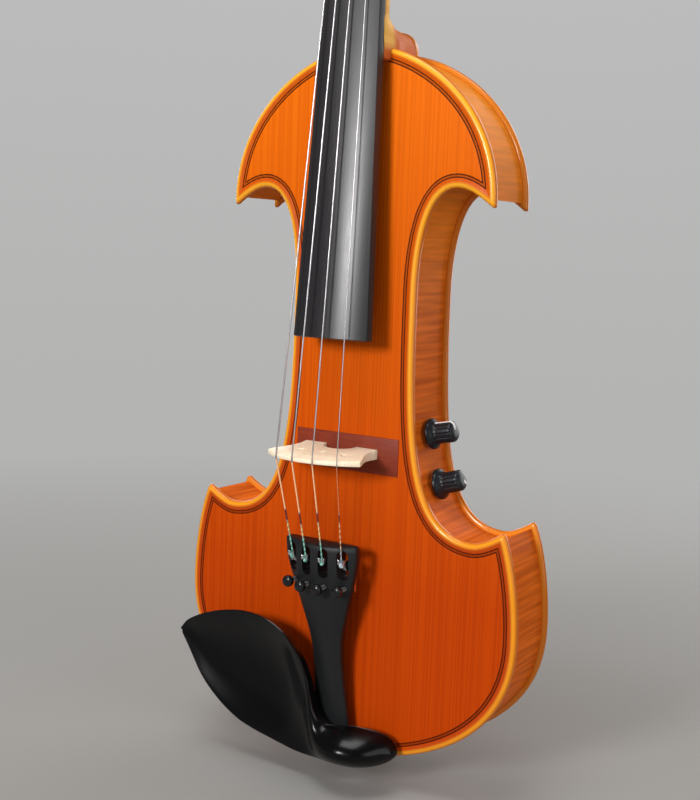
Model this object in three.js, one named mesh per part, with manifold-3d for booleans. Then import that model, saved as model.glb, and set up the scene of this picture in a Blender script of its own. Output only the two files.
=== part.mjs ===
// Electric violin: a shallow hollow body with horned bouts, a carved neck and scroll, a bridge on a
// rosewood plate, a tailpiece with four built-in fine tuners, a chinrest and two control knobs.
// Millimetres. The origin is the centre of the endpin's flat end, +Z runs up the neck, the belly
// faces -Y, and +X is the treble side.
import * as THREE from 'three';
import { mergeVertices } from 'three/addons/utils/BufferGeometryUtils.js';
import Module from 'manifold-3d';

const wasm = await Module();
wasm.setup();

// Driving dimensions of the body
const bodyLength = 350;
const lowerWidth = 193;
const widthShares = { upper: 0.772, waist: 0.363, horns: 0.904 };
const ribHeight = 30;
const ribThickness = 1.5;
const plateThickness = 3.6;
const overhang = 2.5;
const backArch = 3;
const backFloor = 3;
const bodyStop = 0.5643 * bodyLength;
const hornBluntLength = 1.6;

// Neck, fingerboard and strings
const neckStop = 131;
const neckAngle = 3.23;
const overstand = 6.2;
const boardLength = 271;
const boardEdge = 5;
const boardCrownRadius = 42;
const boardNutWidth = 24;
const boardEndWidth = 42;
const stringSpreadNut = 16.5;
const stringSpreadBridge = 34.4;
const stringClearance = 0.35;
const gutStringRadii = { g: 0.42, d: 0.4, a: 0.35, e: 0.25 };

// Clearances
const gap = 0.3;
const overrun = 1;
const glueGap = 0.3;

// Endpin, which sets the height of the body above the origin
const pinHeadLength = 8.5;
const pinHeadRadius = 7.5;
const pinGrooveLength = 3.1;
const pinGrooveRadius = 4;
const pinCollarLength = 2.1;
const pinCollarRadius = 5;
const pinShaftLength = 24;
const pinShaftRadius = 3.9;
const pinBevel = 1.2;

const ribBottom = pinHeadLength + pinGrooveLength + pinCollarLength + gap;
const bodyBottom = ribBottom - overhang;
const bodyTop = bodyBottom + bodyLength;
const bridgeLevel = bodyTop - bodyStop;
const ribFace = ribHeight / 2;
const plateFace = ribFace + plateThickness;

const degrees = Math.PI / 180;
const quarterTurn = Math.PI / 2;

// Counts of flat sides and steps that stand for round forms
const arcSteps = 8;
const roundSides = 16;
const boreSides = 12;
const smallSides = 8;

// Solids: closing, joining and cutting

function closed(geometry) {
  const bare = geometry.index ? geometry.toNonIndexed() : geometry.clone();
  bare.deleteAttribute('normal');
  bare.deleteAttribute('uv');
  const merged = mergeVertices(bare);
  const index = merged.index.array;
  const place = merged.getAttribute('position');
  const corner = i => new THREE.Vector3().fromBufferAttribute(place, i);
  const faces = [];
  let volume = 0;
  for (let i = 0; i < index.length; i += 3) {
    const [a, b, c] = [index[i], index[i + 1], index[i + 2]];
    if (a === b || b === c || a === c) continue;
    faces.push([a, b, c]);
    volume += corner(a).dot(corner(b).cross(corner(c)));
  }
  merged.setIndex(faces.flatMap(face => (volume < 0 ? face.reverse() : face)));
  return merged;
}

function solid(geometry) {
  const merged = closed(geometry);
  return new wasm.Manifold(new wasm.Mesh({
    numProp: 3,
    vertProperties: new Float32Array(merged.getAttribute('position').array),
    triVerts: new Uint32Array(merged.index.array),
  }));
}

function geometryOf(body) {
  const { vertProperties, triVerts } = body.getMesh();
  const geometry = new THREE.BufferGeometry();
  geometry.setAttribute('position', new THREE.BufferAttribute(new Float32Array(vertProperties), 3));
  geometry.setIndex(Array.from(triVerts));
  return geometry;
}

const join = (first, ...others) => geometryOf(others.reduce((a, b) => a.add(solid(b)), solid(first)));
const cut = (first, ...tools) => geometryOf(tools.reduce((a, b) => a.subtract(solid(b)), solid(first)));
const common = (first, second) => geometryOf(solid(first).intersect(solid(second)));

// A flat outline in (x, z), extruded from the front y to the back y
function prism(outline, front, back) {
  const shape = new THREE.Shape(outline.map(([x, z]) => new THREE.Vector2(x, z)));
  const geometry = new THREE.ExtrudeGeometry(shape, { depth: back - front, bevelEnabled: false });
  geometry.rotateX(quarterTurn);
  return geometry.translate(0, back, 0);
}

// A side profile in (y, z), extruded from left to right
function sidePrism(profile, left, right) {
  const shape = new THREE.Shape(profile.map(([y, z]) => new THREE.Vector2(y, z)));
  const geometry = new THREE.ExtrudeGeometry(shape, { depth: right - left, bevelEnabled: false });
  const turn = new THREE.Matrix4().makeBasis(
    new THREE.Vector3(0, 1, 0), new THREE.Vector3(0, 0, 1), new THREE.Vector3(1, 0, 0));
  return geometry.applyMatrix4(turn).translate(left, 0, 0);
}

function block([left, right], [front, back], [low, high]) {
  const geometry = new THREE.BoxGeometry(right - left, back - front, high - low);
  return geometry.translate((left + right) / 2, (front + back) / 2, (low + high) / 2);
}

// A turned piece: its profile is pairs of radius and height, and its height runs along the axis
function turned(profile, sides, axis) {
  const points = profile.map(([radius, height]) => new THREE.Vector2(radius, height));
  const geometry = new THREE.LatheGeometry(points, sides);
  if (axis === 'x') geometry.rotateZ(-quarterTurn);
  if (axis === 'z') geometry.rotateX(quarterTurn);
  return geometry;
}

function rod(radius, start, end, sides, axis) {
  return turned([[0, start], [radius, start], [radius, end], [0, end]], sides, axis);
}

// A solid through rings of points, closed by a fan at each end
function loft(rings) {
  const count = rings[0].length;
  const middle = ring => ring.reduce((sum, p) => sum.add(p), new THREE.Vector3()).divideScalar(count);
  const points = [...rings.flat(), middle(rings[0]), middle(rings.at(-1))];
  const faces = [];
  for (let j = 0; j < count; j++) {
    const next = (j + 1) % count;
    for (let i = 0; i < rings.length - 1; i++) {
      const [a, b] = [i * count + j, i * count + next];
      faces.push(a, b, b + count, a, b + count, a + count);
    }
    const last = (rings.length - 1) * count;
    faces.push(rings.length * count, next, j);
    faces.push(rings.length * count + 1, last + j, last + next);
  }
  const geometry = new THREE.BufferGeometry().setFromPoints(points);
  geometry.setIndex(faces);
  return geometry;
}

// A route whose steps fall on its own points, so that bends get steps and straight runs need none
class Route extends THREE.Curve {
  constructor(points) {
    super();
    this.points = points;
  }

  getPoint(share) {
    const place = share * (this.points.length - 1);
    const i = Math.min(Math.floor(place), this.points.length - 2);
    return this.points[i].clone().lerp(this.points[i + 1], place - i);
  }

  getPointAt(share) {
    return this.getPoint(share);
  }

  getTangentAt(share) {
    const last = this.points.length - 1;
    const i = Math.round(share * last);
    const ahead = this.points[Math.min(i + 1, last)].clone().sub(this.points[i]).normalize();
    const behind = this.points[i].clone().sub(this.points[Math.max(i - 1, 0)]).normalize();
    return ahead.add(behind).normalize();
  }
}

function tube(points, radius, sides) {
  const ring = Array.from({ length: sides }, (_, i) => {
    const angle = (2 * Math.PI * i) / sides;
    return new THREE.Vector2(radius * Math.cos(angle), radius * Math.sin(angle));
  });
  return new THREE.ExtrudeGeometry(new THREE.Shape(ring), {
    steps: points.length - 1, extrudePath: new Route(points), bevelEnabled: false,
  });
}

const vector = (x, y, z) => new THREE.Vector3(x, y, z);
const mix = (from, to, share) => from + (to - from) * share;

// Cosines and sines at even steps round half a turn
const halfTurn = Array.from({ length: arcSteps + 1 }, (_, i) => {
  const angle = (i / arcSteps) * Math.PI;
  return { cos: Math.cos(angle), sin: Math.sin(angle) };
});

// Finishes
const finish = (color, roughness, metalness = 0) => ({ color, roughness, metalness });
const finishes = {
  belly: finish(0xc8560c, 0.3),
  maple: finish(0xa8430f, 0.3),
  inside: finish(0xd8bd8a, 0.8),
  ebony: finish(0x1b1a1c, 0.45),
  rosewood: finish(0x6b2a16, 0.5),
  bridgeMaple: finish(0xe2bd84, 0.6),
  blackPlastic: finish(0x1c1f22, 0.5),
  knobPlastic: finish(0x1d2026, 0.3),
  steel: finish(0xc6c8cc, 0.25, 1),
  silver: finish(0xd0d0d2, 0.3, 1),
  cork: finish(0xb98a5a, 0.9),
  cordPlastic: finish(0x202022, 0.6),
  pickupBrass: finish(0xb99a55, 0.4, 1),
};

const violin = new THREE.Group();
violin.name = 'electric_violin';

function add(name, geometry, finishName, parent = violin) {
  const mesh = new THREE.Mesh(closed(geometry), new THREE.MeshStandardMaterial(finishes[finishName]));
  mesh.name = name;
  parent.add(mesh);
  return mesh;
}

const sides = { bass: -1, treble: 1 };

// Body outline, treble half: curves of four points, each as shares of the way between two half
// widths and of the body's length
const lowerHalf = lowerWidth / 2;
const upperHalf = widthShares.upper * lowerHalf;
const waistHalf = widthShares.waist * lowerHalf;
const hornHalf = widthShares.horns * lowerHalf;
const bouts = {
  upper: [
    { from: 0, to: upperHalf, steps: 10, shares: [[0, 1], [0.39, 1], [1.027, 0.924], [1, 0.78]] },
  ],
  waist: [
    {
      from: waistHalf, to: upperHalf, steps: 3,
      shares: [[1, 0.78], [0.924, 0.784], [0.71, 0.808], [0.494, 0.808]],
    },
    {
      from: waistHalf, to: upperHalf, steps: 6,
      shares: [[0.494, 0.808], [0.094, 0.808], [0, 0.727], [0, 0.667]],
    },
    {
      from: waistHalf, to: hornHalf, steps: 10,
      shares: [[0, 0.667], [0, 0.48], [0.02, 0.339], [0.69, 0.339]],
    },
    {
      from: waistHalf, to: hornHalf, steps: 3,
      shares: [[0.69, 0.339], [0.77, 0.339], [0.94, 0.354], [1, 0.361]],
    },
  ],
  lower: [
    {
      from: hornHalf, to: lowerHalf, steps: 4,
      shares: [[0, 0.361], [0.456, 0.334], [1, 0.279], [1, 0.211]],
    },
    { from: 0, to: lowerHalf, steps: 10, shares: [[1, 0.211], [1, 0.059], [0.393, 0], [0, 0]] },
  ],
};

// One bout drawn in from the edge by an inset
function boutLine(name, inset) {
  const line = [];
  for (const { from, to, steps, shares } of bouts[name]) {
    const knots = shares.map(([x, z]) => (
      new THREE.Vector2(mix(from, to, x), bodyBottom + z * bodyLength)));
    const curve = new THREE.CubicBezierCurve(...knots);
    for (let i = line.length ? 1 : 0; i <= steps; i++) {
      const point = curve.getPoint(i / steps);
      const tangent = curve.getTangent(i / steps);
      line.push([point.x + tangent.y * inset, point.y - tangent.x * inset]);
    }
  }
  return line;
}

// Where two lines of points cross: the point and the places on each line
function crossing(first, second) {
  for (let i = first.length - 2; i >= 0; i--) {
    for (let j = 0; j < second.length - 1; j++) {
      const [a, b, c, d] = [first[i], first[i + 1], second[j], second[j + 1]];
      const [rx, rz, sx, sz] = [b[0] - a[0], b[1] - a[1], d[0] - c[0], d[1] - c[1]];
      const across = rx * sz - rz * sx;
      const t = ((c[0] - a[0]) * sz - (c[1] - a[1]) * sx) / across;
      const u = ((c[0] - a[0]) * rz - (c[1] - a[1]) * rx) / across;
      if (t >= 0 && t <= 1 && u >= 0 && u <= 1) return { point: [a[0] + t * rx, a[1] + t * rz], i, j };
    }
  }
  return { point: first.at(-1), i: first.length - 2, j: 0 };
}

// The three bouts of the treble half at an inset, each trimmed where it meets its neighbour
function trimmedBouts(inset) {
  const [upper, waist, lower] = ['upper', 'waist', 'lower'].map(name => boutLine(name, inset));
  const top = crossing(upper, waist);
  const low = crossing(waist, lower);
  return {
    upper: [[0, upper[0][1]], ...upper.slice(1, top.i + 1), top.point],
    waist: [top.point, ...waist.slice(top.j + 1, low.i + 1), low.point],
    lower: [low.point, ...lower.slice(low.j + 1, -1), [0, lower.at(-1)[1]]],
  };
}

const mirrored = line => line.map(([x, z]) => [-x, z]);

function bodyOutline(inset) {
  const { upper, waist, lower } = trimmedBouts(inset);
  const half = [...upper, ...waist.slice(1), ...lower.slice(1)];
  return [...half, ...mirrored(half.slice(1, -1)).reverse()];
}

// The plates' outline has its four horns blunted
function plateOutline() {
  const { upper, waist, lower } = trimmedBouts(0);
  const back = ([x, z], [toX, toZ]) => {
    const share = hornBluntLength / Math.hypot(toX - x, toZ - z);
    return [mix(x, toX, share), mix(z, toZ, share)];
  };
  const half = [
    ...upper.slice(0, -1), back(upper.at(-1), upper.at(-2)), back(waist[0], waist[1]),
    ...waist.slice(1, -1), back(waist.at(-1), waist.at(-2)), back(lower[0], lower[1]),
    ...lower.slice(1),
  ];
  return [...half, ...mirrored(half.slice(1, -1)).reverse()];
}

// Neck frame: its origin is on the fingerboard's gluing plane over the body's top edge
const neckFrame = new THREE.Group();
neckFrame.position.set(0, -(plateFace + overstand), bodyTop);
neckFrame.rotation.x = -neckAngle * degrees;
neckFrame.updateMatrix();
violin.add(neckFrame);
const boardWidth = along => mix(boardNutWidth, boardEndWidth, (neckStop - along) / boardLength);

// Neck root and heel: one loft from the belly side to the button, in the body's frame
const rootDepth = 6;
const rootFrontHalf = 16.8;
const rootBackHalf = 10.6;
const rootReach = 40;
const heelDepth = plateFace + ribFace - gap;
const heelReach = 10.3;
const heelShares = [
  { depth: 0.24, half: 0.92, reach: 1.4 }, { depth: 0.33, half: 0.75, reach: 1.17 },
  { depth: 0.45, half: 0.45, reach: 1.09 }, { depth: 0.72, half: 0.15, reach: 1.03 },
  { depth: 1, half: 0, reach: 1 },
];
const heelStations = [
  { depth: -overstand - overrun, half: 1, reach: rootReach },
  ...heelShares.map(({ depth, half, reach }) => (
    { depth: depth * heelDepth, half, reach: reach * heelReach })),
];

function neckRoot(clearance) {
  return loft(heelStations.map(({ depth, half: halfShare, reach }) => {
    const y = depth - plateFace + (depth > ribHeight ? clearance : 0);
    const half = mix(rootBackHalf, rootFrontHalf, halfShare) + clearance;
    const low = bodyTop - overhang - rootDepth - clearance;
    const arc = halfTurn.map(({ cos, sin }) => vector(half * cos, y, bodyTop + (reach + clearance) * sin));
    return [vector(half, y, low), ...arc, vector(-half, y, low)];
  }));
}

// Top plate, let in for the neck, the saddle and the bridge plate
const bridgePlateHalf = 0.851 * waistHalf;
const bridgePlateHeight = 18.3;
const bridgePlateOffset = 1.4;
const bridgePlateDepth = 2.4;
const bridgePlateProud = 0.5;
const platePocketLow = bridgeLevel + bridgePlateOffset - bridgePlateHeight / 2;
const platePocketHigh = platePocketLow + bridgePlateHeight;
const pocketFloor = -(plateFace - bridgePlateDepth);
const controlDepth = 21;
const bridgeBlockHalf = waistHalf - controlDepth;
const pickupOverhang = 7.5;
const pickupHalf = bridgeBlockHalf + pickupOverhang;
const pickupWidth = 4.4;
const pickupThickness = 1.8;
const pickupSlotDepth = 2.4;
const saddleHalf = 15;
const saddleDepth = 7;
const saddleRise = 4;

const widened = ([low, high], by) => [low - by, high + by];
const pickupLevel = bridgeLevel + bridgePlateOffset;
const pickupSpan = [pickupLevel - pickupWidth / 2, pickupLevel + pickupWidth / 2];
const pickupSlot = block(
  widened([-pickupHalf, pickupHalf], gap), [pocketFloor - overrun, pocketFloor + pickupSlotDepth],
  widened(pickupSpan, gap));
add('top_plate', cut(
  prism(plateOutline(), -plateFace, -ribFace),
  neckRoot(gap),
  block(widened([-bridgePlateHalf, bridgePlateHalf], gap), [-plateFace - overrun, pocketFloor],
    widened([platePocketLow, platePocketHigh], gap)),
  pickupSlot,
  block(widened([-saddleHalf, saddleHalf], gap), [-plateFace - overrun, -ribFace + overrun],
    [bodyBottom - overrun, bodyBottom + saddleDepth + gap])), 'belly');

// Back plate with its button and a low arch, hollowed below the arch
const buttonRadius = 10.5;
const buttonTop = 10.8;
const archStations = [
  { level: 0.045, halfShare: 0.3 }, { level: 0.12, halfShare: 0.7 }, { level: 0.22, halfShare: 0.8 },
  { level: 0.3, halfShare: 0.68 }, { level: 0.4, halfShare: 0.26 }, { level: 0.52, halfShare: 0.2 },
  { level: 0.68, halfShare: 0.19 }, { level: 0.8, halfShare: 0.3 }, { level: 0.88, halfShare: 0.56 },
  { level: 0.955, halfShare: 0.2 },
];
const archEndShare = 1 / 6;
const archRoundness = 0.7;

function archLoft(base, rise) {
  return loft(archStations.map(({ level, halfShare }, i) => {
    const half = halfShare * lowerHalf;
    const ends = i === 0 || i === archStations.length - 1;
    const height = ends ? rise * archEndShare : rise;
    const z = bodyBottom + level * bodyLength;
    const top = [1, 0.6, 0, -0.6, -1].map(share => vector(
      share * half, base + height * (1 - share * share) ** archRoundness, z));
    return [...top, vector(-half, base - overrun, z), vector(half, base - overrun, z)];
  }));
}

const buttonCentre = bodyTop + buttonTop - buttonRadius;
const button = [
  [buttonRadius, bodyTop - plateThickness],
  ...halfTurn.map(({ cos, sin }) => [buttonRadius * cos, buttonCentre + buttonRadius * sin]),
  [-buttonRadius, bodyTop - plateThickness],
];
add('back_plate', cut(
  join(
    prism(plateOutline(), ribFace, plateFace),
    prism(button, ribFace, plateFace),
    archLoft(plateFace, backArch)),
  archLoft(ribFace + overrun, backArch - overrun)
    .translate(0, plateThickness - backFloor - overrun, 0)), 'maple');

// Ribs: strips between the inset lines, parted at the neck root, the horns and the endpin
const ribFaceAt = inset => trimmedBouts(overhang + inset);
const outerBouts = ribFaceAt(0);
const innerBouts = ribFaceAt(ribThickness);
const knobStandoff = 1.8;
const knobPlaces = { volume: { levelShare: 0.471, tilt: 12 }, tone: { levelShare: 0.4015, tilt: 17 } };
const bushingRadius = 3.5;
const bushingLength = 4.5;
const jackLevelShare = 0.218;
const jackRadius = 5;
const waistShare = 0.667;

// How far out the waist rib stands at a level of its long lower stretch
function ribReach(z) {
  const line = outerBouts.waist.filter(([, level]) => level < bodyBottom + waistShare * bodyLength);
  const i = line.findIndex(([, level]) => level < z);
  const share = (line[i - 1][1] - z) / (line[i - 1][1] - line[i][1]);
  return mix(line[i - 1][0], line[i][0], share);
}

const knobFrames = {};
for (const [name, { levelShare, tilt }] of Object.entries(knobPlaces)) {
  const frame = new THREE.Group();
  const z = bodyBottom + levelShare * bodyLength;
  frame.position.set(ribReach(z) + knobStandoff, 0, z);
  frame.rotation.y = -tilt * degrees;
  frame.updateMatrix();
  violin.add(frame);
  knobFrames[name] = frame;
}

const knobBores = Object.values(knobFrames).map(frame => (
  rod(bushingRadius + gap, -bushingLength, bushingLength, boreSides, 'x').applyMatrix4(frame.matrix)));
const jackLevel = bodyBottom + jackLevelShare * bodyLength;
const jackBore = rod(jackRadius + gap, -lowerHalf - overrun, -lowerHalf / 2, boreSides, 'x')
  .translate(0, 0, jackLevel);
const pinBore = rod(pinShaftRadius + gap, 0, ribBottom + pinShaftLength + overrun, boreSides, 'z');

for (const [side, sign] of Object.entries(sides)) {
  for (const bout of ['upper', 'waist', 'lower']) {
    const strip = [...outerBouts[bout], ...innerBouts[bout].toReversed()].map(([x, z]) => [sign * x, z]);
    const tools = {
      upper: [neckRoot(gap)],
      waist: side === 'treble' ? knobBores : [],
      lower: [pinBore, block([-gap / 2, gap / 2], [-ribHeight, ribHeight], [0, bridgeLevel]),
        ...(side === 'bass' ? [jackBore] : [])],
    }[bout];
    const rib = prism(sign > 0 ? strip : strip.toReversed(), -ribFace, ribFace);
    add(`rib_${bout}_${side}`, tools.length ? cut(rib, ...tools) : rib, 'maple');
  }
}

// Blocks inside the ribs
const hollow = prism(bodyOutline(overhang + ribThickness + gap), -ribFace, ribFace);
const topBlockHalf = 26;
const topBlockDepth = 16;
const endBlockHalf = 24;
const endBlockDepth = 18;
const cornerBlockDepth = 15;
const cornerBlockWidth = 17;
const ribTop = bodyTop - overhang;
const within = (x, z) => common(hollow, block(x, [-ribFace, ribFace], z));

add('top_block', cut(
  within([-topBlockHalf, topBlockHalf], [ribTop - topBlockDepth, bodyTop]), neckRoot(gap)), 'inside');
add('end_block', cut(
  within([-endBlockHalf, endBlockHalf], [0, ribBottom + endBlockDepth]), pinBore), 'inside');
const upperHorn = outerBouts.waist[0];
const lowerHorn = outerBouts.lower[0];
for (const [side, sign] of Object.entries(sides)) {
  const across = ([x]) => [sign * (x - cornerBlockWidth), sign * lowerHalf].sort((a, b) => a - b);
  add(`upper_corner_block_${side}`,
    within(across(upperHorn), [upperHorn[1], upperHorn[1] + cornerBlockDepth]), 'inside');
  add(`lower_corner_block_${side}`,
    within(across(lowerHorn), [lowerHorn[1] - cornerBlockDepth, lowerHorn[1]]), 'inside');
}

// Block under the bridge, the pickup in its slot, and the rosewood plate let into the top
add('bridge_block', cut(
  block([-bridgeBlockHalf, bridgeBlockHalf], [-ribFace, ribFace], [platePocketLow, platePocketHigh]),
  pickupSlot, archLoft(ribFace, 0)), 'inside');
add('pickup', block(
  [-pickupHalf, pickupHalf], [pocketFloor + gap, pocketFloor + gap + pickupThickness], pickupSpan),
'pickupBrass');
add('bridge_plate', block(
  [-bridgePlateHalf, bridgePlateHalf], [-plateFace - bridgePlateProud, pocketFloor],
  [platePocketLow, platePocketHigh]), 'rosewood');

// Neck shaft: sections along the neck frame, flat under the fingerboard and round behind
const shaftStart = 9;
const shaftDepth = { heel: 14.6, nut: 13 };
const shaftRoundness = 0.8;
const headStart = neckStop;

function shaftSection(along, depth) {
  const half = boardWidth(along) / 2;
  const arc = halfTurn.map(({ cos, sin }) => (
    vector(half * cos, glueGap + depth * sin ** shaftRoundness, along)));
  return [vector(half, -overrun, along), ...arc, vector(-half, -overrun, along)];
}

const nutLength = 5;
const headLength = neckStop + nutLength;

// Pegbox: side profile in the neck frame, tapered from the front, with an open trough
const headSpan = 68;
const pegboxEnd = headLength + headSpan;
const pegboxFall = 10.5;
const pegDepth = 8;
const troughDepth = 14.2;
const pegboxNeck = 13;
const scrollOverlap = 6;
const cheekHalf = { nut: 12, throat: 9.5 };
const troughHalf = { nut: 7.6, throat: 5.4 };
const pegboxDepth = 29;
const pegboxShares = [[0.059, 0.634], [0.265, 0.759], [0.529, 0.883], [0.824, 1]];
const pegboxBack = pegboxShares.map(([along, depth]) => [depth * pegboxDepth, headLength + along * headSpan]);
const throatStep = 2;
const frontAt = along => mix(0, pegboxFall, (along - headLength) / headSpan);
const headPlan = ({ nut, throat }, start, end) => prism(
  [[-nut, start], [nut, start], [throat, end], [-throat, end]], -pegboxEnd, pegboxEnd);
const pegboxSide = sidePrism([
  [-overrun, headStart], [glueGap + pegboxNeck, headStart],
  ...pegboxBack,
  [pegboxFall + pegboxBack[1][0], pegboxEnd + scrollOverlap],
  [pegboxFall + throatStep, pegboxEnd + scrollOverlap],
  [pegboxFall, pegboxEnd], [glueGap, headLength], [-overrun, headLength],
], -cheekHalf.nut, cheekHalf.nut);
const pegbox = common(pegboxSide, headPlan(cheekHalf, headStart, pegboxEnd + scrollOverlap));
const troughShares = { front: 0.03, floor: 0.103, end: 0.941 };
const troughAt = share => headLength + share * headSpan;
const trough = common(sidePrism([
  [-pegDepth, troughAt(troughShares.front)], [pegDepth, troughAt(troughShares.front)],
  ...[troughShares.floor, troughShares.end].map(share => (
    [frontAt(troughAt(share)) + troughDepth, troughAt(share)])),
  [-pegDepth, troughAt(troughShares.end)],
], -cheekHalf.nut, cheekHalf.nut), headPlan(troughHalf, headLength, pegboxEnd));

// Scroll: half turns of a spiral, each smaller in radius and wider across than the one before
const scrollRadius = 15.5;
const scrollHalf = 20;
const scrollCentre = { y: pegboxFall + 0.55 * scrollRadius, z: pegboxEnd + 0.81 * scrollRadius };
const scrollRadiusShares = [1, 0.85, 0.67, 0.54, 0.41, 0.31];
const scrollWidthShares = [
  { start: 0.32, end: 0.38 }, { start: 0.38, end: 0.47 }, { start: 0.51, end: 0.62 },
  { start: 0.65, end: 0.77 }, { start: 0.8, end: 0.91 },
];
const scrollAxle = 1.5;
const scrollEyeRadius = 3.6;
const scrollPart = scrollWidthShares.map((widths, turn) => loft(
  Array.from({ length: arcSteps + 1 }, (_, i) => {
    const angle = (turn + i / arcSteps - 0.5) * Math.PI;
    const radius = scrollRadius * mix(scrollRadiusShares[turn], scrollRadiusShares[turn + 1], i / arcSteps);
    const reach = scrollHalf * mix(widths.start, widths.end, i / arcSteps);
    const [cos, sin] = [Math.cos(angle), Math.sin(angle)];
    const at = (x, r) => vector(x, scrollCentre.y + r * cos, scrollCentre.z + r * sin);
    return [at(-reach, scrollAxle), at(-reach, radius), at(reach, radius), at(reach, scrollAxle)];
  })));
const scroll = join(
  rod(scrollEyeRadius, -scrollHalf, scrollHalf, boreSides, 'x')
    .translate(0, scrollCentre.y, scrollCentre.z),
  ...scrollPart);

// Pegs stand through both cheeks, at a depth below the pegbox's front edge
const pegOrder = {
  g: { share: 0.191, side: 'bass' }, e: { share: 0.412, side: 'treble' },
  d: { share: 0.632, side: 'bass' }, a: { share: 0.838, side: 'treble' },
};
const pegRadius = { thick: 4, thin: 3.4 };
const pegCollar = { radius: 5, length: 3.5 };
const pegHead = { half: 11.5, length: 17, thickness: 4.2 };
const pegTip = 2;
const pegRound = 0.4;
const pegPlace = ({ share }) => ({
  y: pegboxFall * share + pegDepth, z: headLength + headSpan * share,
});
const cheekSpan = pegboxEnd + scrollOverlap - headStart;
const cheekAt = z => mix(cheekHalf.nut, cheekHalf.throat, (z - headStart) / cheekSpan);
const pegHoles = Object.values(pegOrder).map(peg => {
  const { y, z } = pegPlace(peg);
  const reach = cheekHalf.nut + overrun;
  const hole = turned([
    [0, -reach], [pegRadius.thin + gap, -reach], [pegRadius.thick + gap, reach], [0, reach],
  ], boreSides, 'x');
  return hole.scale(sides[peg.side], 1, 1).translate(0, y, z);
});

const neckWood = join(
  loft([shaftSection(shaftStart, shaftDepth.heel), shaftSection(neckStop, shaftDepth.nut)]),
  pegbox, scroll);
const carved = cut(neckWood, trough, ...pegHoles).applyMatrix4(neckFrame.matrix);
const underBoard = block([-lowerHalf, lowerHalf], [glueGap, lowerHalf], [-neckStop, 2 * neckStop])
  .applyMatrix4(neckFrame.matrix);
add('neck', common(join(carved, neckRoot(0)), underBoard), 'maple');

for (const [name, peg] of Object.entries(pegOrder)) {
  const { y, z } = pegPlace(peg);
  const wall = cheekAt(z);
  const shaft = turned([
    [0, -wall - pegTip], [pegRadius.thin - pegRound, -wall - pegTip], [pegRadius.thin, -wall],
    [pegRadius.thick, wall + gap], [pegCollar.radius, wall + gap],
    [pegCollar.radius, wall + pegCollar.length / 2],
    [pegRadius.thin, wall + pegCollar.length], [0, wall + pegCollar.length],
  ], boreSides, 'x');
  const headStartX = wall + pegCollar.length - overrun;
  const leafShares = [[0, 0.18], [0.15, 0.4], [0.4, 0.9], [0.65, 1], [0.88, 0.75], [1, 0.2]];
  const leaf = leafShares.map(([x, half]) => [headStartX + x * pegHead.length, half * pegHead.half]);
  const head = prism(
    [...leaf, ...leaf.map(([x, h]) => [x, -h]).reverse()], -pegHead.thickness / 2, pegHead.thickness / 2);
  const whole = join(shaft, head);
  whole.scale(sides[peg.side], 1, 1);
  add(`peg_${name}`, whole, 'ebony', neckFrame).position.set(0, y, z);
}

// Fingerboard: crowned, and tapered from its end to the nut
const crownHeight = x => Math.sqrt(boardCrownRadius ** 2 - x * x);
const crownRise = (x, half) => crownHeight(x) - crownHeight(half);

function boardSection(along, depth) {
  const half = boardWidth(along) / 2;
  const crown = [1, 0.68, 0.34, 0, -0.34, -0.68, -1].map(share => vector(
    share * half, -depth - crownRise(share * half, half), along));
  return [vector(half, 0, along), ...crown, vector(-half, 0, along)];
}

const boardEnd = neckStop - boardLength;
add('fingerboard', loft([
  boardSection(boardEnd, boardEdge), boardSection(neckStop - gap, boardEdge),
]), 'ebony', neckFrame);
const nutRise = 0.55;
add('nut', loft([
  boardSection(neckStop, boardEdge + nutRise),
  boardSection(neckStop + nutLength - gap, boardEdge + nutRise - gap),
]), 'ebony', neckFrame);

// Bridge: flat on its tail side, thinning to the top, with its arch, heart and two eyes
const bridgeShift = -2.9;
const bridgeWidth = 42;
const bridgeFootThickness = 4.9;
const bridgeTopThickness = 1.8;
const bridgeTailFace = -0.4;
const bridgeTopHalf = 26.3;
const bridgeCrownRadius = 42;
const stringHeight = 31.2;
const trebleDrop = 0.4;
const bridgeFoot = plateFace + bridgePlateProud;
const stringShares = { g: -1, d: -1 / 3, a: 1 / 3, e: 1 };
const crownDrop = x => bridgeCrownRadius - Math.sqrt(bridgeCrownRadius ** 2 - x * x);
const bridgeApex = plateFace + stringHeight + crownDrop(stringSpreadBridge / 2)
  - bridgeFoot - gap - gutStringRadii.g;
const bridgeTop = x => bridgeApex - crownDrop(x) - (x / stringSpreadBridge) * 2 * trebleDrop;
const footHalf = bridgeWidth / 2;
const bridgeSideShares = [
  [1, 0], [1, 0.07], [0.98, 0.15], [0.99, 0.25], [1.03, 0.35], [1.09, 0.45], [1.18, 0.58], [1.245, 0.67],
];
const bridgeArchShares = [[0.42, 0], [0.41, 0.07], [0.3, 0.17], [0, 0.24]];
const bridgeSide = bridgeSideShares.map(([x, h]) => [x * footHalf, h * bridgeApex]);
const bridgeCrown = [1, 0.75, 0.5, 0.25, 0, -0.25, -0.5, -0.75, -1].map(share => (
  [share * bridgeTopHalf, bridgeTop(share * bridgeTopHalf)]));
const bridgeArch = bridgeArchShares.map(([x, h]) => [x * footHalf, h * bridgeApex]);
const bridgeFace = [
  ...bridgeSide, ...bridgeCrown, ...mirrored(bridgeSide).reverse(),
  ...mirrored(bridgeArch), ...bridgeArch.slice(0, -1).reverse(),
];
const heartShares = [
  [0, 0.4], [0.12, 0.48], [0.1, 0.56], [0.04, 0.58], [0, 0.55], [-0.04, 0.58], [-0.1, 0.56], [-0.12, 0.48],
];
const eyeShares = [[0.5, 0.4], [0.7, 0.47], [0.72, 0.56], [0.56, 0.6], [0.46, 0.52]];
const opening = shares => new THREE.Path(
  shares.map(([x, h]) => new THREE.Vector2(x * footHalf, h * bridgeApex)));
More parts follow.
